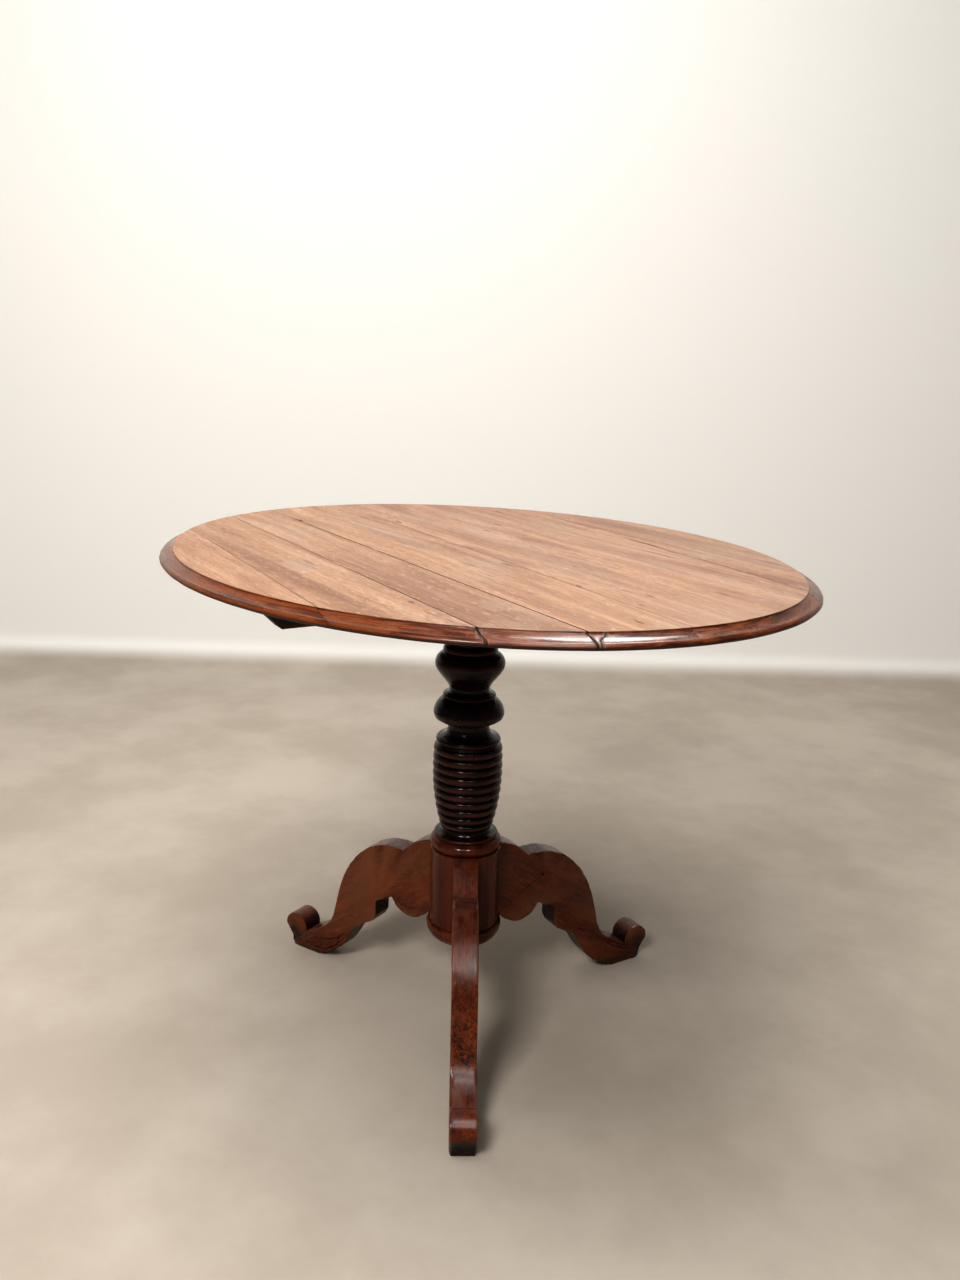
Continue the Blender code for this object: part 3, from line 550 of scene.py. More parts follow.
def frame_wood(name, along_axis, seed):
    """Stained secondary wood under the top: dry, with saw marks."""
    n = Nodes(name)
    quarter = math.radians(90.0)
    rotation = {"X": (0.0, 0.0, 0.0), "Y": (0.0, 0.0, -quarter), "Z": (0.0, quarter, 0.0)}
    along = n.placed(rotation[along_axis], (seed, 0.0, seed))
    streaks, lines, pores = grain(n, along)
    colour = n.ramp(
        streaks, (0.30, (0.020, 0.0095, 0.006)), (0.5, (0.050, 0.024, 0.013)),
        (0.72, (0.095, 0.048, 0.026)),
    )
    colour = n.mix(n.times(pores, 0.6), colour, (0.012, 0.006, 0.004))
    dry = n.noise(n.object, 28.0, 5.0, 0.6)
    colour = n.mix(n.part(dry, 0.5, 0.75, 0.0, 0.35), colour, (0.14, 0.085, 0.055))
    saw = n.streaky(along, (260.0, 14.0, 14.0), 1.0, 0.5)
    normal = n.bump(saw, 0.00018, 0.35, n.bump(n.math("SUBTRACT", lines, pores), 0.00012, 0.5))
    rough = n.part(dry, 0.3, 0.7, 0.58, 0.80)
    return n.done(Base_Color=colour, Roughness=rough, Normal=normal, Specular_IOR_Level=0.3)


def iron_material(name):
    n = Nodes(name)
    rust = n.noise(n.object, 420.0, 6.0, 0.65)
    colour = n.ramp(
        rust, (0.40, (0.055, 0.050, 0.047)), (0.56, (0.085, 0.060, 0.045)), (0.70, (0.145, 0.060, 0.028))
    )
    normal = n.bump(rust, 0.00012, 0.6)
    rough = n.part(rust, 0.35, 0.7, 0.38, 0.80)
    metal = n.part(rust, 0.50, 0.68, 1.0, 0.35)
    return n.done(Base_Color=colour, Roughness=rough, Normal=normal, Metallic=metal)


def brass_material(name):
    n = Nodes(name)
    tarnish = n.noise(n.object, 130.0, 6.0, 0.65)
    colour = n.ramp(
        tarnish, (0.34, (0.60, 0.42, 0.16)), (0.55, (0.42, 0.27, 0.095)), (0.72, (0.16, 0.098, 0.042))
    )
    scratch = n.streaky(n.object, (1500.0, 130.0, 1500.0), 2.0, 0.5)
    normal = n.bump(scratch, 0.00003, 0.5)
    rough = n.part(tarnish, 0.3, 0.75, 0.22, 0.52)
    return n.done(Base_Color=colour, Roughness=rough, Normal=normal, Metallic=1.0)


# ---------------------------------------------------------------- the oval top
AROUND = 360
FLAT_RINGS = 26
FLAT_INSET = 0.0185
SEAMS = ((-0.313, -0.357), (-0.220, -0.2355), (-0.134, -0.141), (0.015, -0.030), (0.3265, 0.2215))
SEAM_GAPS = (0.00025, 0.00050, 0.00055, 0.00020, 0.00030)
BOARD_TINTS = (
    (0.63, 0.62, 0.70), (0.61, 0.61, 0.69), (0.60, 0.59, 0.67), (0.64, 0.63, 0.70), (0.62, 0.605, 0.69),
    (0.61, 0.60, 0.69),
)
# Where along X each joint's dark line begins, and how dark it is.
SEAM_STAINS = ((0.10, 0.55), (0.10, 0.90), (-0.36, 0.95), (-0.30, 0.40), (0.03, 0.75))
NOSE_FLAT = 0.0085
QUIRK_POINTS = (2, 3)
# Painted shade for the dark layer: in the quirk's small step, on the nose where it turns under, and on the
# top's underside.
QUIRK_SHADE = 0.12
NOSE_SHADE = 0.90
NOSE_SHADE_DEPTHS = (0.0108, 0.0150)
UNDER_SHADE = 0.75
BOARD_ARRIS = 0.00045
CRACK_DEPTH = 0.0022
CUT_CLEAR = 0.002


def rim_profile():
    """(inset, depth) from the flat's edge over the cove and the round nose to the underside."""
    quirk = [(FLAT_INSET, 0.0), (FLAT_INSET - 0.0004, 0.0004), (FLAT_INSET - 0.0005, 0.0015)]
    cove = smooth_run(
        [(FLAT_INSET - 0.0008, 0.0021), (0.0152, 0.0038), (0.0108, 0.0062), (0.0066, 0.0078),
         (0.0036, 0.0085)], 4,
    )
    nose = smooth_run(
        [(0.0026, 0.0089), (0.0010, 0.0104), (0.0, 0.0127), (0.0008, 0.0149), (0.0032, 0.0166),
         (NOSE_FLAT, THICK)], 4,
    )
    return quirk + cove + nose


def near(point, centre, reach):
    """1 at a centre and 0 outside an oval reach (x, y) around it."""
    away = math.hypot((point.x - centre[0]) / reach[0], (point.y - centre[1]) / reach[1])
    return fade(1.0 - away, 0.0, 1.0)


# Greyed patches of the top: centre, reach and strength.
GREY_PATCHES = (
    ((0.03, -0.275), (0.075, 0.022), 0.60), ((0.115, -0.045), (0.080, 0.028), 0.60),
    ((-0.20, -0.055), (0.22, 0.030), 0.45), ((-0.32, -0.105), (0.045, 0.020), 0.55),
    ((-0.05, -0.060), (0.16, 0.022), 0.40), ((0.05, 0.345), (0.30, 0.045), 0.35),
    ((0.16, 0.300), (0.10, 0.020), 0.45), ((-0.14, 0.085), (0.12, 0.050), 0.28),
    ((0.20, 0.165), (0.22, 0.030), 0.25), ((-0.24, -0.190), (0.16, 0.024), 0.32),
    ((0.23, 0.330), (0.16, 0.035), 0.42), ((-0.30, 0.16), (0.12, 0.05), 0.25),
    ((0.02, 0.225), (0.20, 0.018), 0.32), ((0.33, 0.17), (0.12, 0.012), 0.28),
)
# Small dark stains and knots: centre, reach and strength.
MARKS = (
    ((-0.270, 0.013), (0.016, 0.0042), 0.70), ((-0.345, -0.131), (0.020, 0.0050), 0.80),
    ((0.055, 0.270), (0.055, 0.0045), 0.75), ((0.365, 0.028), (0.011, 0.0040), 0.60),
    ((0.285, -0.016), (0.009, 0.0040), 0.60), ((0.400, -0.012), (0.009, 0.0034), 0.55),
    ((0.465, -0.066), (0.010, 0.0042), 0.65), ((0.287, -0.243), (0.009, 0.0042), 0.75),
    ((0.130, -0.022), (0.024, 0.0080), 0.55), ((0.110, -0.070), (0.030, 0.0080), 0.50),
    ((0.020, -0.258), (0.034, 0.0060), 0.45), ((0.140, 0.228), (0.060, 0.0030), 0.60),
    ((-0.330, 0.240), (0.022, 0.0045), 0.60), ((-0.190, 0.155), (0.020, 0.0045), 0.55),
    ((-0.140, 0.105), (0.016, 0.0045), 0.55), ((0.389, 0.119), (0.018, 0.0040), 0.60),
    ((0.205, 0.060), (0.010, 0.0040), 0.45), ((0.060, 0.120), (0.012, 0.0035), 0.40),
    ((-0.050, -0.200), (0.012, 0.0040), 0.40), ((0.330, -0.180), (0.010, 0.0035), 0.45),
    ((0.250, 0.330), (0.030, 0.0040), 0.50), ((-0.420, -0.060), (0.014, 0.0040), 0.40),
)
# Cracks in the flat, as corners and width, and right across the rim.
TOP_CRACKS = (
    (((-0.356, -0.124), (-0.338, -0.1335), (-0.315, -0.1352)), 0.0013),
    (((0.015, 0.2715), (0.060, 0.2685), (0.105, 0.2680)), 0.0011),
    (((0.090, 0.2290), (0.140, 0.2275), (0.190, 0.2285)), 0.0007),
    (((-0.345, 0.2430), (-0.318, 0.2380)), 0.0009), (((-0.205, 0.1570), (-0.178, 0.1540)), 0.0009),
    (((-0.155, 0.1070), (-0.128, 0.1040)), 0.0008), (((0.377, 0.1205), (0.403, 0.1190)), 0.0011),
    (((0.352, 0.0310), (0.380, 0.0270)), 0.0010), (((0.275, -0.0140), (0.294, -0.0180)), 0.0010),
    (((0.391, -0.0130), (0.411, -0.0110)), 0.0010), (((0.452, -0.0640), (0.476, -0.0680)), 0.0012),
    (((0.279, -0.2438), (0.296, -0.2422)), 0.0012), (((0.118, -0.0240), (0.143, -0.0200)), 0.0007),
    (((-0.286, 0.0145), (-0.258, 0.0118)), 0.0014), (((0.230, 0.3330), (0.275, 0.3290)), 0.0007),
)
RIM_CRACKS = (
    (((0.466, -0.1412), (0.4765, -0.1412), (0.4870, -0.1390), (0.5030, -0.1404)), 0.0005),
    (((0.4800, -0.1200), (0.4870, -0.1275), (0.4890, -0.1340), (0.5030, -0.1388)), 0.0005),
    (((0.3900, -0.2337), (0.4150, -0.2343), (0.4290, -0.2355), (0.4460, -0.2370)), 0.0005),
    (((0.3000, 0.3440), (0.3110, 0.3560)), 0.0026),
)


def make_top():
    """The whole top as one bmesh: the flat, the moulded rim and the underside."""
    work = bmesh.new()
    layers = {key: work.verts.layers.float.new(key) for key in ("rim", "rub", "dark", "grey")}
    rings = []

    def add_ring(semi_x, semi_y, z, rim, dark, wide):
        ring = []
        for i in range(AROUND):
            angle = 2 * math.pi * i / AROUND
            x, y = semi_x * math.cos(angle), semi_y * math.sin(angle)
            worn = 0.00045 * wear((x, y, z), 34.0, 3.0) * wide
            vert = work.verts.new((x - worn * math.cos(angle), y - worn * math.sin(angle), z))
            vert[layers["rim"]] = rim
            vert[layers["dark"]] = dark
            ring.append(vert)
        rings.append(ring)

    for share in range(1, FLAT_RINGS + 1):
        size = share / (FLAT_RINGS + 0.35)
        add_ring((SEMI_X - FLAT_INSET) * size, (SEMI_Y - FLAT_INSET) * size, HEIGHT, 0.0, 0.0, 0.0)
    for number, (inset, depth) in enumerate(rim_profile()):
        on_rim = 1.0 if number else 0.0  # the first point is still on the flat's edge
        # Painted shade at the quirk and where the nose turns under goes into the dark layer.
        in_quirk = QUIRK_SHADE if number in QUIRK_POINTS else 0.0
        dark = max(in_quirk, NOSE_SHADE * fade(depth, *NOSE_SHADE_DEPTHS))
        add_ring(SEMI_X - inset, SEMI_Y - inset, HEIGHT - depth, on_rim, dark, on_rim)
    # The underside is painted in shade.
    for size in (0.93, 0.7, 0.4):
        add_ring((SEMI_X - NOSE_FLAT) * size, (SEMI_Y - NOSE_FLAT) * size, UNDERSIDE, 1.0, UNDER_SHADE, 0.0)
    join_rows(work, rings)
    for ring, z in ((rings[0], HEIGHT), (rings[-1], UNDERSIDE)):
        centre = work.verts.new((0.0, 0.0, z))
        if z == UNDERSIDE:
            centre[layers["rim"]] = 1.0
            centre[layers["dark"]] = UNDER_SHADE
        for i in range(AROUND):
            work.faces.new((centre, ring[i], ring[(i + 1) % AROUND]))
    bmesh.ops.recalc_face_normals(work, faces=work.faces)
    return work


def seam_strength(number, x):
    """How dark the painted shade in a joint's opened gap is along its length."""
    rim_end = fade(x, SEMI_X * 0.70, SEMI_X * 0.90)
    return (
        0.25 + 0.5 * rim_end, 0.30 + 0.65 * fade(x, 0.05, 0.20), 0.95 * fade(x, -0.40, -0.33),
        0.40 + 0.2 * wear((x, 0.0, 0.0), 7.0, 5.0), 0.45 + 0.4 * fade(x, 0.0, 0.06),
    )[number]


def paint_top(obj):
    """Writes the painted layers from each vertex's place."""
    layers = obj.data.attributes
    for index, vertex in enumerate(obj.data.vertices):
        spot = vertex.co
        rim = layers["rim"].data[index].value
        on_top = 1.0 if rim < 0.5 else 0.0
        grey = max(strength * near(spot, centre, reach) for centre, reach, strength in GREY_PATCHES)
        grey *= 1.15 + 0.6 * wear(spot, 30.0, 9.0)
        layers["grey"].data[index].value = max(grey, 0.0) * on_top
        # The walls of each joint's gap, and every face of the top below the flat, such as the cracks'
        # walls, get a painted shade in the dark layer.
        for number, seam in enumerate(SEAMS):
            away = abs(spot.y - seam_y(seam, spot.x)) - SEAM_GAPS[number]
            if away < 0.0003 and on_top and spot.z < HEIGHT - 0.00003:
                opened = seam_strength(number, spot.x) * (1.0 if away < 0.0001 else 0.75)
                layers["dark"].data[index].value = max(layers["dark"].data[index].value, opened)
        if on_top and spot.z < HEIGHT - 0.0006:
            layers["dark"].data[index].value = 1.0
        angle = math.degrees(math.atan2(spot.y / SEMI_Y, spot.x / SEMI_X))
        worn_end = fade(wear(spot, 16.0, 21.0), 0.0, 0.45)
        ends = max(fade(abs(angle), 125.0, 170.0), fade(35.0 - abs(angle + 5.0), 0.0, 30.0) * 0.8)
        layers["rub"].data[index].value = min(worn_end * (0.15 + 0.6 * ends), 0.75)


def seam_y(seam, x):
    left, right = seam
    return left + (right - left) * (x + SEMI_X) / (2 * SEMI_X)


def make_boards():
    slab = piece_from("slab", make_top())
    cutters = []
    for number, (corners, width) in enumerate(TOP_CRACKS):
        line = jagged(corners, 6, 0.0016, 2.0 + number)
        cutters.append(sliver(line, width, HEIGHT - CRACK_DEPTH, HEIGHT + CUT_CLEAR))
    for number, (corners, width) in enumerate(RIM_CRACKS):
        line = jagged(corners, 5, 0.0010, 30.0 + number)
        cutters.append(sliver(line, width, UNDERSIDE + 0.003, HEIGHT + CUT_CLEAR))
    cut(slab, cutters)
    disc = bmesh.new()
    disc.from_mesh(slab.data)
    bpy.data.objects.remove(slab, do_unlink=True)
    edges = [None, *SEAMS, None]
    gaps = [0.0, *SEAM_GAPS, 0.0]
    boards = []
    for number in range(len(TOP_NODES)):
        work = disc.copy()
        for seam, gap, keeps_above in (
            (edges[number], gaps[number], True), (edges[number + 1], gaps[number + 1], False),
        ):
            if seam is None:
                continue
            run = Vector((2 * SEMI_X, seam[1] - seam[0], 0.0)).normalized()
            outward = Vector((-run.y, run.x, 0.0)) * (1 if keeps_above else -1)
            place = Vector((0.0, seam_y(seam, 0.0), HEIGHT)) + outward * gap
            everything = work.verts[:] + work.edges[:] + work.faces[:]
            cut_result = bmesh.ops.bisect_plane(
                work, geom=everything, plane_co=place, plane_no=outward, clear_inner=True, dist=1e-6,
            )
            cut_edges = [e for e in cut_result["geom_cut"] if isinstance(e, bmesh.types.BMEdge)]
            bmesh.ops.holes_fill(work, edges=cut_edges, sides=0)
            work.normal_update()
            walls = [f for f in work.faces if abs(f.normal.dot(outward)) > 0.998 and len(f.verts) > 8]
            edge_of_top = [
                e for wall in walls for e in wall.edges
                if all(abs(v.co.z - HEIGHT) < 1e-5 for v in e.verts)
            ]
            bmesh.ops.bevel(
                work, geom=edge_of_top, offset=BOARD_ARRIS, offset_type="OFFSET", segments=2, profile=0.5,
                affect="EDGES", clamp_overlap=True,
            )
        boards.append(piece_from(f"board_{number + 1}", work))
    disc.free()
    return boards


# ---------------------------------------------------------------- column and cap
RIBS = 10
RIB_TOP = 0.4390
RIB_PITCH = 0.0134
RIB_DEPTH = 0.0040
BELLY_Z = 0.4060
BELLY_RADIUS = 0.0527
CREST_REACH = 0.012
KERF_REACH = 0.03
KERF_HALF = 0.0018
KERF_DEPTH = 0.032
POLISH_CHANGE = 0.2992  # the near-black polish ends and the red hub begins at this height
POCKET_REACH = 0.024
POCKET_RADIUS = 0.0056
POCKET_DEPTH = 0.0082


def barrel_radius(z):
    curve = 0.80 if z > BELLY_Z else 1.51
    return BELLY_RADIUS - curve * (z - BELLY_Z) ** 2


def rib_profile():
    points = []
    for rib in range(RIBS):
        crest = RIB_TOP - RIB_PITCH * rib
        for step in range(12):
            part = 0.5 - step / 12
            rise = (1.0 - (2 * part) ** 2) ** 0.55
            z = crest + RIB_PITCH * part
            points.append((barrel_radius(z) - RIB_DEPTH * (1.0 - rise), z))
    return points


def column_profile():
    upper = [(0.0, TENON_TOP), (0.0222, TENON_TOP), (0.0222, SHOULDER), (0.0496, SHOULDER)]
    upper += [(0.0502, SHOULDER - 0.0008), (0.0508, 0.6715), (0.0502, 0.6672), (0.0490, 0.6660)]
    upper += [(0.0455, 0.6652)]
    upper += smooth_run([(0.0452, 0.6645), (0.0365, 0.6520), (0.0322, 0.6330), (0.0312, 0.6000)], 8)
    upper += arc((0.0335, 0.5915), 0.0070, 125.0, -55.0, 12)[2:]
    upper += [(0.0385, 0.5868), (0.0390, 0.5862)]
    ball = smooth_run(
        [(0.0410, 0.5860), (0.0462, 0.5835), (0.0502, 0.5780), (0.0520, 0.5712), (0.0506, 0.5640),
         (0.0452, 0.5552), (0.0372, 0.5452), (0.0318, 0.5372), (0.0300, 0.5318), (0.0306, 0.5280)], 5,
    )
    ring = [(0.0325, 0.5262), (0.0348, 0.5250)] + arc((0.0362, 0.5212), 0.0036, 80.0, -70.0, 8)
    bell = smooth_run(
        [(0.0398, 0.5172), (0.0452, 0.5130), (0.0498, 0.5065), (0.0524, 0.4990), (0.0530, 0.4945),
         (0.0520, 0.4898)], 5,
    )
    bell += smooth_run([(0.0508, 0.4872), (0.0455, 0.4838), (0.0385, 0.4812), (0.0345, 0.4803)], 3)
    neck = smooth_run(
        [(0.0326, 0.4796), (0.0314, 0.4760), (0.0311, 0.4712), (0.0322, 0.4665), (0.0355, 0.4615),
         (0.0405, 0.4584), (0.0450, 0.4572)], 5,
    )
    shoulder = [(0.0468, 0.4566)] + arc((0.0462, 0.4530), 0.0026, 65.0, -60.0, 6) + [(0.0462, 0.4492)]
    dish = smooth_run(
        [(0.0366, 0.3117), (0.0371, 0.3090), (0.0392, 0.3062), (0.0430, 0.3046), (0.0462, 0.3041)], 5,
    )
    dish += [(0.0466, 0.3040)] + arc((0.0462, 0.3012), 0.0028, 80.0, -60.0, 6) + [(0.0462, 0.2984)]
    torus = arc((0.0450, 0.2885), 0.0098, 78.0, -78.0, 20)
    hub = [(0.0468, 0.2786), (0.0512, 0.2784), (0.0528, 0.2782), (HUB_RADIUS, 0.2776)]
    hub += [(HUB_RADIUS, z) for z in (0.24, 0.20, HUB_BOTTOM + 0.0006)]
    hub += [(HUB_RADIUS - 0.0006, HUB_BOTTOM), (0.0, HUB_BOTTOM)]
    return upper + ball + ring + bell + neck + shoulder + rib_profile() + dish + torus + hub


def paint_crests(obj):
    """Marks how far each ring stands proud of its neighbours, for the crests' rubbed wear and painted
    light.
    """
    layer = obj.data.attributes.new("crest", "FLOAT", "POINT")
    heights = {}
    for vertex in obj.data.vertices:
        z = round(vertex.co.z, 5)
        heights[z] = max(heights.get(z, 0.0), math.hypot(vertex.co.x, vertex.co.y))
    levels = sorted(heights)
    crest_at = {}
    for z in levels:
        around = [heights[other] for other in levels if abs(other - z) < CREST_REACH / 2]
        low, high = min(around), max(around)
        rise = (heights[z] - low) / max(high - low, 0.0015)
        crest_at[z] = fade(rise, 0.74, 1.0) if high - low > 0.001 else 0.0
    for index, vertex in enumerate(obj.data.vertices):
        value = crest_at[round(vertex.co.z, 5)] * (0.6 + 0.6 * wear(vertex.co, 45.0))
        layer.data[index].value = min(max(value, 0.0), 1.0)


def make_column():
    column = lathe("column_turned", column_profile(), 144, 0.00025)
    kerf_low = (-KERF_REACH, -KERF_HALF, TENON_TOP - KERF_DEPTH)
    cut(column, [box_cutter(kerf_low, (KERF_REACH, KERF_HALF, TENON_TOP + 0.01))])
    paint_crests(column)
    smooth(column, 38.0)
    dress(column, dark_polish("column_polish", POLISH_CHANGE))
    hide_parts("column")
    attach(column, "base")

    top, low = CAP_HIGH.z, CAP_LOW.z
    profile = [(0.0, top), (0.0548, top), (0.0556, top - 0.0002)]
    profile += arc((0.0545, 0.1518), 0.0036, 62.0, -20.0, 8)
    profile += smooth_run(
        [(0.0580, 0.1492), (0.0576, 0.1450), (0.0560, 0.1402), (0.0532, 0.1355), (0.0492, 0.1312),
         (0.0440, 0.1278), (0.0395, low + 0.0002)], 4,
    )
    cap = lathe("base_cap_turned", profile + [(0.0385, low), (0.0, low)], 120, 0.0002)
    pockets = []
    for azimuth in LEG_AZIMUTHS.values():
        angle = math.radians(azimuth + 60.0)
        centre = (POCKET_REACH * math.cos(angle), POCKET_REACH * math.sin(angle))
        pockets.append(round_cutter(centre, low - 0.01, low + POCKET_DEPTH, POCKET_RADIUS))
    cut(cap, pockets)
    paint_crests(cap)
    smooth(cap, 38.0)
    dress(cap, dark_polish("cap_polish", POLISH_CHANGE))
    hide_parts("base_cap")
    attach(cap, "base")


def box_cutter(low, high):
    work = bmesh.new()
    bmesh.ops.create_cube(work, size=1.0)
    size = Vector(high) - Vector(low)
    bmesh.ops.transform(work, matrix=Matrix.Diagonal(size).to_4x4(), verts=work.verts)
    bmesh.ops.translate(work, vec=(Vector(low) + Vector(high)) / 2, verts=work.verts)
    return piece_from("box_cutter", work)


def round_cutter(centre, low, high, radius, steps=24):
    work = bmesh.new()
    bmesh.ops.create_cone(
        work, cap_ends=True, segments=steps, radius1=radius, radius2=radius, depth=high - low
    )
    bmesh.ops.translate(work, vec=(centre[0], centre[1], (low + high) / 2), verts=work.verts)
    return piece_from("round_cutter", work)


def darkened(cutter):
    """Gives a cutter's faces the painted shade of an old hole, which the cut piece then keeps."""
    layer = cutter.data.attributes.new("dark", "FLOAT", "POINT")
    for row in layer.data:
        row.value = 1.0


# ---------------------------------------------------------------- legs
LEG_ROWS = 9
# Painted light and shade: each leg's colour is made lighter or darker by how much light falls on it.
LEG_LIGHT_TONES = {"leg_front": 1.02, "leg_side": 0.88, "leg_back": 0.90}
LEG_ROUGHNESS = {"leg_front": 1.0, "leg_side": 0.8, "leg_back": 1.5}
SPLINTER_DEPTH = 0.0034
CHIP_DEPTH = 0.0026
TOE_ROUNDING = 0.0034
ARRIS = 0.0011
NAIL_HOLE = (0.135, 0.205)  # on the side leg: distance from the axis and height
SCROLL_CENTRE = (0.3355, 0.0385)
SCROLL_RADIUS = 0.0232


def leg_outline():
    """(distance from the axis, height) round one leg, clockwise from the hub's top, as fine runs."""
    x, z = SCROLL_CENTRE
    start = 0.050
    runs = [
        smooth_run([(start, 0.2768), (0.0620, 0.2757), (0.0860, 0.2645), (0.1070, 0.2450)], 10),
        smooth_run(
            [(0.1070, 0.2450), (0.1250, 0.2455), (0.1480, 0.2425), (0.1810, 0.2275), (0.2100, 0.1985),
             (0.2300, 0.1630), (0.2430, 0.1220), (0.2520, 0.0870), (0.2640, 0.0660), (0.2850, 0.0500),
             (x - SCROLL_RADIUS, 0.0360)], 12),
        arc((x, z), SCROLL_RADIUS, 187.0, -38.0, 44),
        smooth_run([(0.3538, 0.0242), (0.3490, 0.0150), (0.3475, 0.0045), (0.3430, 0.0)], 5),
        smooth_run([(0.3430, 0.0), (0.3150, 0.0), (0.2880, 0.0)], 12),
        smooth_run([(0.2880, 0.0), (0.2760, 0.0025), (0.2620, 0.0090), (0.2490, 0.0185), (0.2360, 0.0305),
                    (0.2215, 0.0500), (0.2040, 0.0790)], 7),
        smooth_run([(0.2040, 0.0790), (0.1775, 0.0955), (0.1670, 0.1020), (0.1605, 0.1130)], 8),
        smooth_run([(0.1605, 0.1130), (0.1607, 0.1390)], 10),
        smooth_run([(0.1607, 0.1390), (0.1285, 0.1570)], 14),
        smooth_run(
            [(0.1285, 0.1570), (0.1150, 0.1410), (0.0910, 0.1335), (0.0680, 0.1420),
             (start, 0.1585)], 10),
        smooth_run([(start, 0.1585), (start, 0.2768)], 8),
    ]
    points = []
    for run in runs:
        for point in run:
            if not points or math.dist(point, points[-1]) > 0.0003:
                points.append(point)
    if math.dist(points[0], points[-1]) < 0.0003:
        points.pop()
    return points


def inward_normals(points):
    count = len(points)
    normals = []
    for i, (x, z) in enumerate(points):
        before, after = points[i - 1], points[(i + 1) % count]
        one = Vector((x - before[0], z - before[1])).normalized()
        two = Vector((after[0] - x, after[1] - z)).normalized()
        bisector = Vector(((one + two).y, -(one + two).x)).normalized()
        share = max(bisector.dot(Vector((one.y, -one.x))), 0.5)
        normals.append(bisector / share)
    return normals


def make_leg(name, azimuth, seed):
    roughness = LEG_ROUGHNESS[name]
    points = leg_outline()
    normals = inward_normals(points)
    half = LEG_THICK / 2
    work = bmesh.new()
    rub_layer = work.verts.layers.float.new("rub")
    dark_layer = work.verts.layers.float.new("dark")
    across = [(-half, ARRIS), (-half + 0.3 * ARRIS, 0.3 * ARRIS), (-half + ARRIS, 0.0)]
    for row in range(1, LEG_ROWS):
        across.append((-half + ARRIS + (2 * half - 2 * ARRIS) * row / LEG_ROWS, 0.0))
    across += [(half - ARRIS, 0.0), (half - 0.3 * ARRIS, 0.3 * ARRIS), (half, ARRIS)]
    rows = []
    for place, inset in across:
        edge = fade(abs(place), half - 3.0 * ARRIS, half)
        row = []
        for (x, z), inward in zip(points, normals):
            spot = (x, place, z)
            under = fade(0.034 - z, 0.0, 0.024) * fade(x, 0.20, 0.25)
            chip = max(wear(spot, 75.0, seed) - 0.18, 0.0) * CHIP_DEPTH * edge
            splinter = 0.5 + 0.5 * wear((x * 0.5, place * 2.0, z), 160.0, seed + 4.0)
            splinter *= SPLINTER_DEPTH * under * roughness
            if z < 0.0006:
                splinter *= 0.25
            push = inset + chip + splinter + 0.00035 * wear(spot, 26.0, seed + 2.0) + 0.0002
            vert = work.verts.new((x + inward.x * push, place, max(z + inward.y * push, 0.0)))
            redder_wood = edge * fade(wear(spot, 40.0, seed + 7.0), -0.35, 0.5) * 0.75
            redder_wood += 0.35 * fade(wear(spot, 22.0, seed + 11.0), 0.25, 0.6) * fade(z, 0.30, 0.02)
            vert[rub_layer] = min(redder_wood, 0.8)
            toe = fade(x, 0.333, 0.350) * fade(0.042 - z + 0.006 * wear(spot, 120.0, seed), 0.0, 0.022)
            vert.co.y -= math.copysign(TOE_ROUNDING * toe * edge, place)
            # The toe and the lowest part of the foot are painted darker.
            vert[dark_layer] = min(max(under * 0.55, toe), 0.95)
            row.append(vert)
        rows.append(row)
    join_rows(work, rows)
    work.faces.new(rows[0])
    work.faces.new(list(reversed(rows[-1])))
    leg = piece_from(name + "_sawn", work)
    hub = round_cutter((0.0, 0.0), 0.10, 0.32, HUB_RADIUS + 0.0002, 144)
    around_cap = round_cutter((0.0, 0.0), 0.10, CAP_HIGH.z + 0.0005, CAP_HIGH.x + 0.0003, 144)
    cut(leg, [hub, around_cap] + leg_damage(name, half))
    leg.data.transform(Matrix.Rotation(math.radians(azimuth), 4, "Z"))
    smooth(leg, 40.0)
    dress(leg, leg_material(name + "_walnut", azimuth, seed, LEG_LIGHT_TONES[name]))
    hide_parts(name)
    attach(leg, "base")


# Splits in each leg's side that shows, as corners (distance from the axis, height), width and depth.
SIDE_SPLITS = {
    "leg_side": (
        (((0.131, 0.2035), (0.112, 0.1930), (0.086, 0.1775)), 0.0017, 0.005),
        (((0.262, 0.0610), (0.296, 0.0385), (0.330, 0.0265)), 0.0014, 0.004),
        (((0.272, 0.0455), (0.308, 0.0270), (0.341, 0.0190)), 0.0012, 0.004),
        (((0.285, 0.0430), (0.318, 0.0330)), 0.0010, 0.003),
        (((0.296, 0.0210), (0.334, 0.0110)), 0.0009, 0.003),
        (((0.196, 0.0950), (0.226, 0.0830), (0.258, 0.0560)), 0.0008, 0.002),
        (((0.180, 0.1120), (0.215, 0.1010)), 0.0006, 0.002),
    ),
    "leg_back": (
        (((0.300, 0.0300), (0.268, 0.0335), (0.232, 0.0500)), 0.0016, 0.005),
        (((0.270, 0.0165), (0.249, 0.0290), (0.224, 0.0540)), 0.0022, 0.007),
        (((0.258, 0.0150), (0.243, 0.0260), (0.231, 0.0400)), 0.0018, 0.006),
        (((0.292, 0.0120), (0.270, 0.0150), (0.252, 0.0245)), 0.0014, 0.005),
        (((0.318, 0.0140), (0.288, 0.0200)), 0.0012, 0.004),
        (((0.246, 0.0400), (0.228, 0.0600)), 0.0014, 0.005),
        (((0.120, 0.1560), (0.100, 0.1490), (0.078, 0.1520)), 0.0008, 0.003),
    ),
}
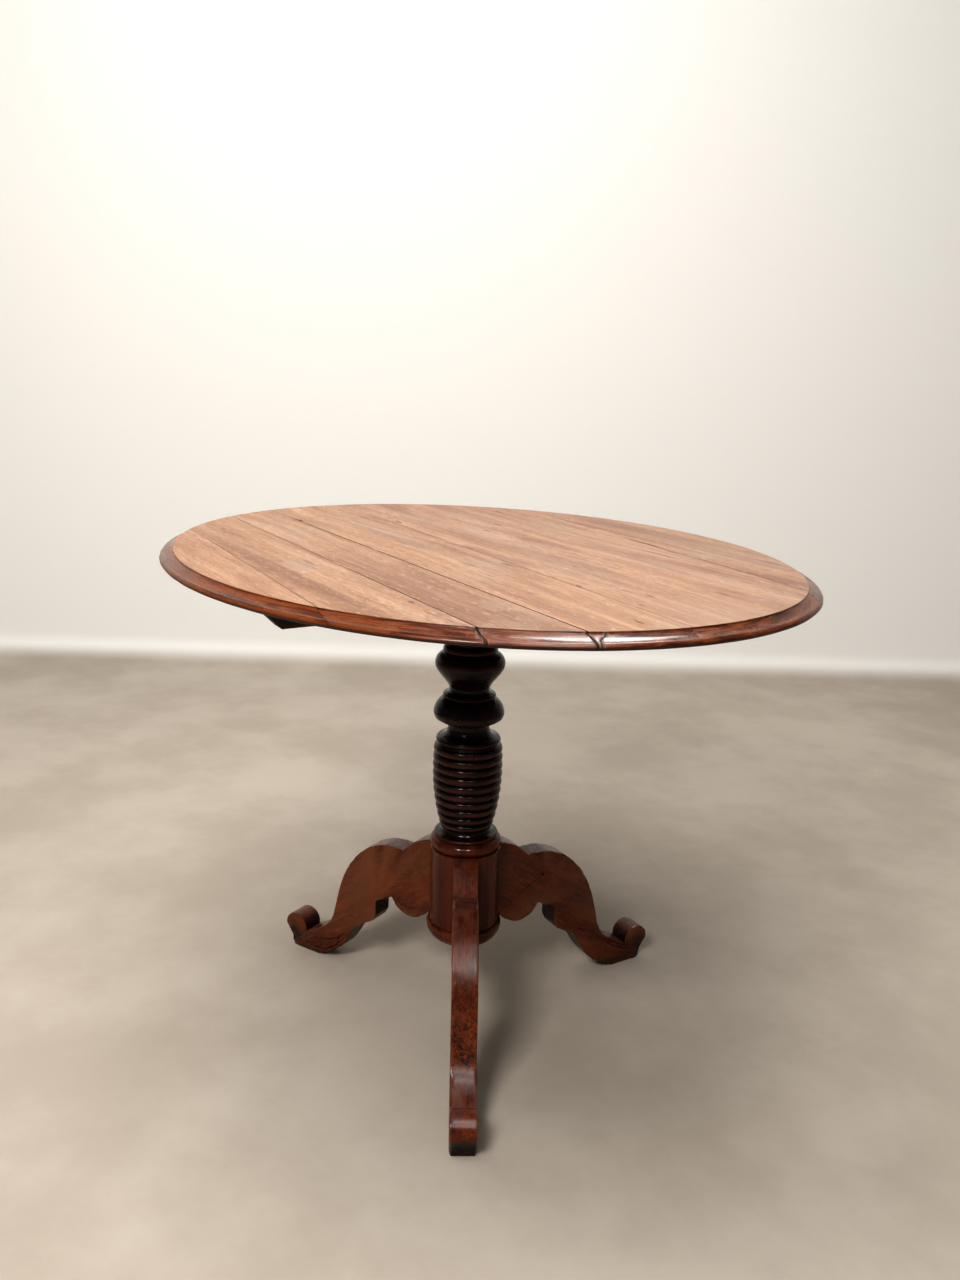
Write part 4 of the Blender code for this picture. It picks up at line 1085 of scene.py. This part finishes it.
# Scratches and pits across the front leg's shin: corners (across, height) and distance from the axis.
SHIN_PITS = (
    (((-0.0150, 0.1180), (-0.0100, 0.1060)), 0.2430), (((-0.0135, 0.1060), (-0.0040, 0.0980)), 0.2465),
    (((-0.0140, 0.0990), (0.0040, 0.0905)), 0.2480), (((-0.0155, 0.1110), (-0.0120, 0.1000)), 0.2450),
    (((0.0000, 0.1020), (0.0080, 0.0950)), 0.2475), (((-0.0080, 0.1250), (-0.0050, 0.1160)), 0.2415),
    (((0.0030, 0.0920), (0.0120, 0.0890)), 0.2490),
)


def leg_damage(name, half):
    """Cutters for one leg's own old damage, in the leg's plane with Y across it."""
    cutters = []
    near_side = half if name == "leg_back" else -half
    for number, (corners, width, depth) in enumerate(SIDE_SPLITS.get(name, ())):
        line = jagged(corners, 7, 0.0022, 3.0 + number)
        inner = near_side - math.copysign(depth, near_side)
        outer = near_side + math.copysign(0.002, near_side)
        cutters.append(sliver(line, width, min(inner, outer), max(inner, outer), "Y"))
    if name == "leg_side":
        hole = round_cutter((0.0, 0.0), -0.006, 0.006, 0.0025, 16)
        darkened(hole)
        sideways = Matrix.Rotation(math.radians(90.0), 4, "X")
        hole.data.transform(Matrix.Translation((NAIL_HOLE[0], -half, NAIL_HOLE[1])) @ sideways)
        cutters.append(hole)
    if name == "leg_front":
        for number, (corners, level) in enumerate(SHIN_PITS):
            line = jagged(corners, 5, 0.0012, 9.0 + number)
            cutters.append(sliver(line, 0.0013, level - 0.0008, level + 0.02, "X"))
    return cutters


# ---------------------------------------------------------------- small parts, softened from the CAD
def softened(node, width, material, body, degrees=35.0):
    """A copy of a CAD node with its flat faces joined and its edges eased, in place of the node."""
    work = bmesh.new()
    work.from_mesh(frame["nodes"][node].data)
    bmesh.ops.remove_doubles(work, verts=work.verts, dist=2e-6)
    bmesh.ops.dissolve_limit(work, angle_limit=math.radians(0.6), verts=work.verts, edges=work.edges)
    piece = piece_from(node + "_eased", work)
    bevel = piece.modifiers.new("ease", "BEVEL")
    bevel.width = width
    bevel.segments = 2
    bevel.limit_method = "ANGLE"
    bevel.angle_limit = math.radians(degrees)
    applied(piece)
    smooth(piece, degrees)
    dress(piece, material)
    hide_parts(node)
    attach(piece, body)


def make_small_parts():
    bodies = frame["record"]["behaviour"]["bodies"]
    body_of = {node: body for body, nodes in bodies.items() for node in nodes}
    slot_of = {row["node"]: row["material_slot"] for row in frame["record"]["subparts"]}
    along = {"bearer_left": "Y", "bearer_right": "Y", "pivot_block": "X", "tenon_wedge": "Z"}
    iron, brass = iron_material("old_iron"), brass_material("old_brass")
    for node, slot in sorted(slot_of.items()):
        if node in TOP_NODES or node in LEG_AZIMUTHS or node in ("column", "base_cap"):
            continue
        if node in along:
            material = frame_wood(node + "_wood", along[node], 0.2 + 0.31 * len(node))
            width = 0.0012 if node != "tenon_wedge" else 0.0003
        else:
            material = iron if slot == "iron" else brass
            width = 0.0002 if "screw" in node else 0.0004
        softened(node, width, material, body_of[node])


# ---------------------------------------------------------------- camera, floor and light
CAMERA_AZIMUTH = 60.0  # it looks along this azimuth, turned from +Y towards -X
CAMERA_DISTANCE = 1.5230
CAMERA_HEIGHT = 0.9942
CAMERA_YAW = 0.498
CAMERA_PITCH = 14.353
CAMERA_ROLL = 1.670
LENS_MM = 20.08219
SENSOR_MM = 24.0  # the sensor's height
WALL_DISTANCE = 2.0
WALL_CURVE = 0.08


def make_camera():
    data = bpy.data.cameras.new("camera")
    data.sensor_fit = "VERTICAL"
    data.sensor_height = SENSOR_MM
    data.lens = LENS_MM
    camera = bpy.data.objects.new("camera", data)
    bpy.context.scene.collection.objects.link(camera)
    turn = (
        Matrix.Rotation(math.radians(CAMERA_AZIMUTH - CAMERA_YAW), 4, "Z")
        @ Matrix.Rotation(math.radians(90.0 - CAMERA_PITCH), 4, "X")
        @ Matrix.Rotation(math.radians(CAMERA_ROLL), 4, "Z")
    )
    back = math.radians(CAMERA_AZIMUTH)
    place = Vector((math.sin(back), -math.cos(back), 0.0)) * CAMERA_DISTANCE
    camera.matrix_world = Matrix.Translation(place + Vector((0.0, 0.0, CAMERA_HEIGHT))) @ turn
    bpy.context.scene.camera = camera


def area_light(name, place, target, size, power, colour):
    data = bpy.data.lights.new(name, "AREA")
    data.shape = "RECTANGLE"
    data.size, data.size_y = size
    data.energy = power
    data.color = colour
    light = bpy.data.objects.new(name, data)
    bpy.context.scene.collection.objects.link(light)
    light.location = place
    light.rotation_euler = (Vector(target) - Vector(place)).to_track_quat("-Z", "Y").to_euler()
    return light


def camera_side(right, away, height):
    """A place given as metres to the right of, and away from, the camera's side of the table."""
    turn = math.radians(CAMERA_AZIMUTH)
    x_axis = Vector((math.cos(turn), math.sin(turn), 0.0))
    y_axis = Vector((-math.sin(turn), math.cos(turn), 0.0))
    return x_axis * right + y_axis * away + Vector((0.0, 0.0, height))


def make_stage():
    """A pale floor that sweeps up into a plain wall behind the table, as in a photo studio."""
    sweep = [(-9.0, 0.0), (WALL_DISTANCE - WALL_CURVE, 0.0)]
    sweep += arc((WALL_DISTANCE - WALL_CURVE, WALL_CURVE), WALL_CURVE, -90.0, 0.0, 12)[1:]
    sweep.append((WALL_DISTANCE, 5.0))
    work = bmesh.new()
    rows = []
    for away, height in sweep:
        rows.append([work.verts.new(camera_side(side, away, height)) for side in (-9.0, 9.0)])
    for near_row, far_row in zip(rows, rows[1:]):
        work.faces.new((near_row[0], near_row[1], far_row[1], far_row[0]))
    floor = piece_from("floor", work)
    floor.data.shade_smooth()
    n = Nodes("floor_pale")
    mottle = n.noise(n.object, 2.3, 6.0, 0.6)
    fine = n.noise(n.object, 60.0, 5.0, 0.65)
    concrete = n.mix(n.part(mottle, 0.35, 0.65), (0.37, 0.319, 0.264), (0.445, 0.390, 0.330))
    colour = n.mix(n.part(n.axis("Z"), 0.0, 0.05), concrete, (0.84, 0.825, 0.79))
    grit = n.bump(fine, 0.0006, 0.25)
    dress(floor, n.done(Base_Color=colour, Roughness=0.8, Normal=grit, Specular_IOR_Level=0.2))
    world = bpy.data.worlds.new("studio")
    world.use_nodes = True
    background = world.node_tree.nodes["Background"]
    background.inputs["Color"].default_value = (0.95, 0.93, 0.90, 1.0)
    background.inputs["Strength"].default_value = 0.17
    bpy.context.scene.world = world
    daylight = (1.0, 0.985, 0.965)
    # Two soft lights shape the table, and the skylight and windows only make its highlights.
    for name, place, size, power, makes_highlights in (
        ("overhead", camera_side(-0.45, -0.3, 3.2), (2.4, 2.0), 92.0, False),
        ("front_fill", camera_side(-1.0, -2.2, 2.5), (0.9, 0.8), 68.0, False),
        ("skylight", camera_side(0.30, -1.25, 3.0), (1.2, 1.5), 62.0, True),
        ("window_left", camera_side(-1.15, -2.7, 2.5), (0.34, 0.7), 60.0, True),
        ("window_right", camera_side(0.5, -2.9, 2.5), (0.24, 0.7), 36.0, True),
        ("window_back", camera_side(0.66, 0.90, 3.2), (0.8, 1.1), 95.0, True),
    ):
        light = area_light(name, place, (0.0, 0.0, 0.45), size, power, daylight)
        light.visible_glossy = makes_highlights
        light.visible_diffuse = not makes_highlights
    bpy.context.scene.view_settings.view_transform = "Standard"
    bpy.context.scene.view_settings.look = "Medium High Contrast"


# ---------------------------------------------------------------- the whole
def main():
    make_camera()
    make_stage()
    for number, board in enumerate(make_boards()):
        node = TOP_NODES[number]
        paint_top(board)
        smooth(board, 28.0)
        across = [vertex.co.y for vertex in board.data.vertices]
        low, high = min(across), max(across)
        marks = [mark for mark in MARKS if low - 0.01 < mark[0][1] < high + 0.01]
        sides = [side for side in (number - 1, number) if 0 <= side < len(SEAMS)]
        seams = [(*SEAMS[side], *SEAM_STAINS[side]) for side in sides]
        seed = 1.0 + 0.83 * number
        dress(board, top_material(f"top_walnut_{number + 1}", seed, BOARD_TINTS[number], marks, seams))
        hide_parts(node)
        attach(board, "top")
    make_column()
    for index, (name, azimuth) in enumerate(LEG_AZIMUTHS.items()):
        make_leg(name, azimuth, 3.0 + 5.3 * index)
    make_small_parts()


main()
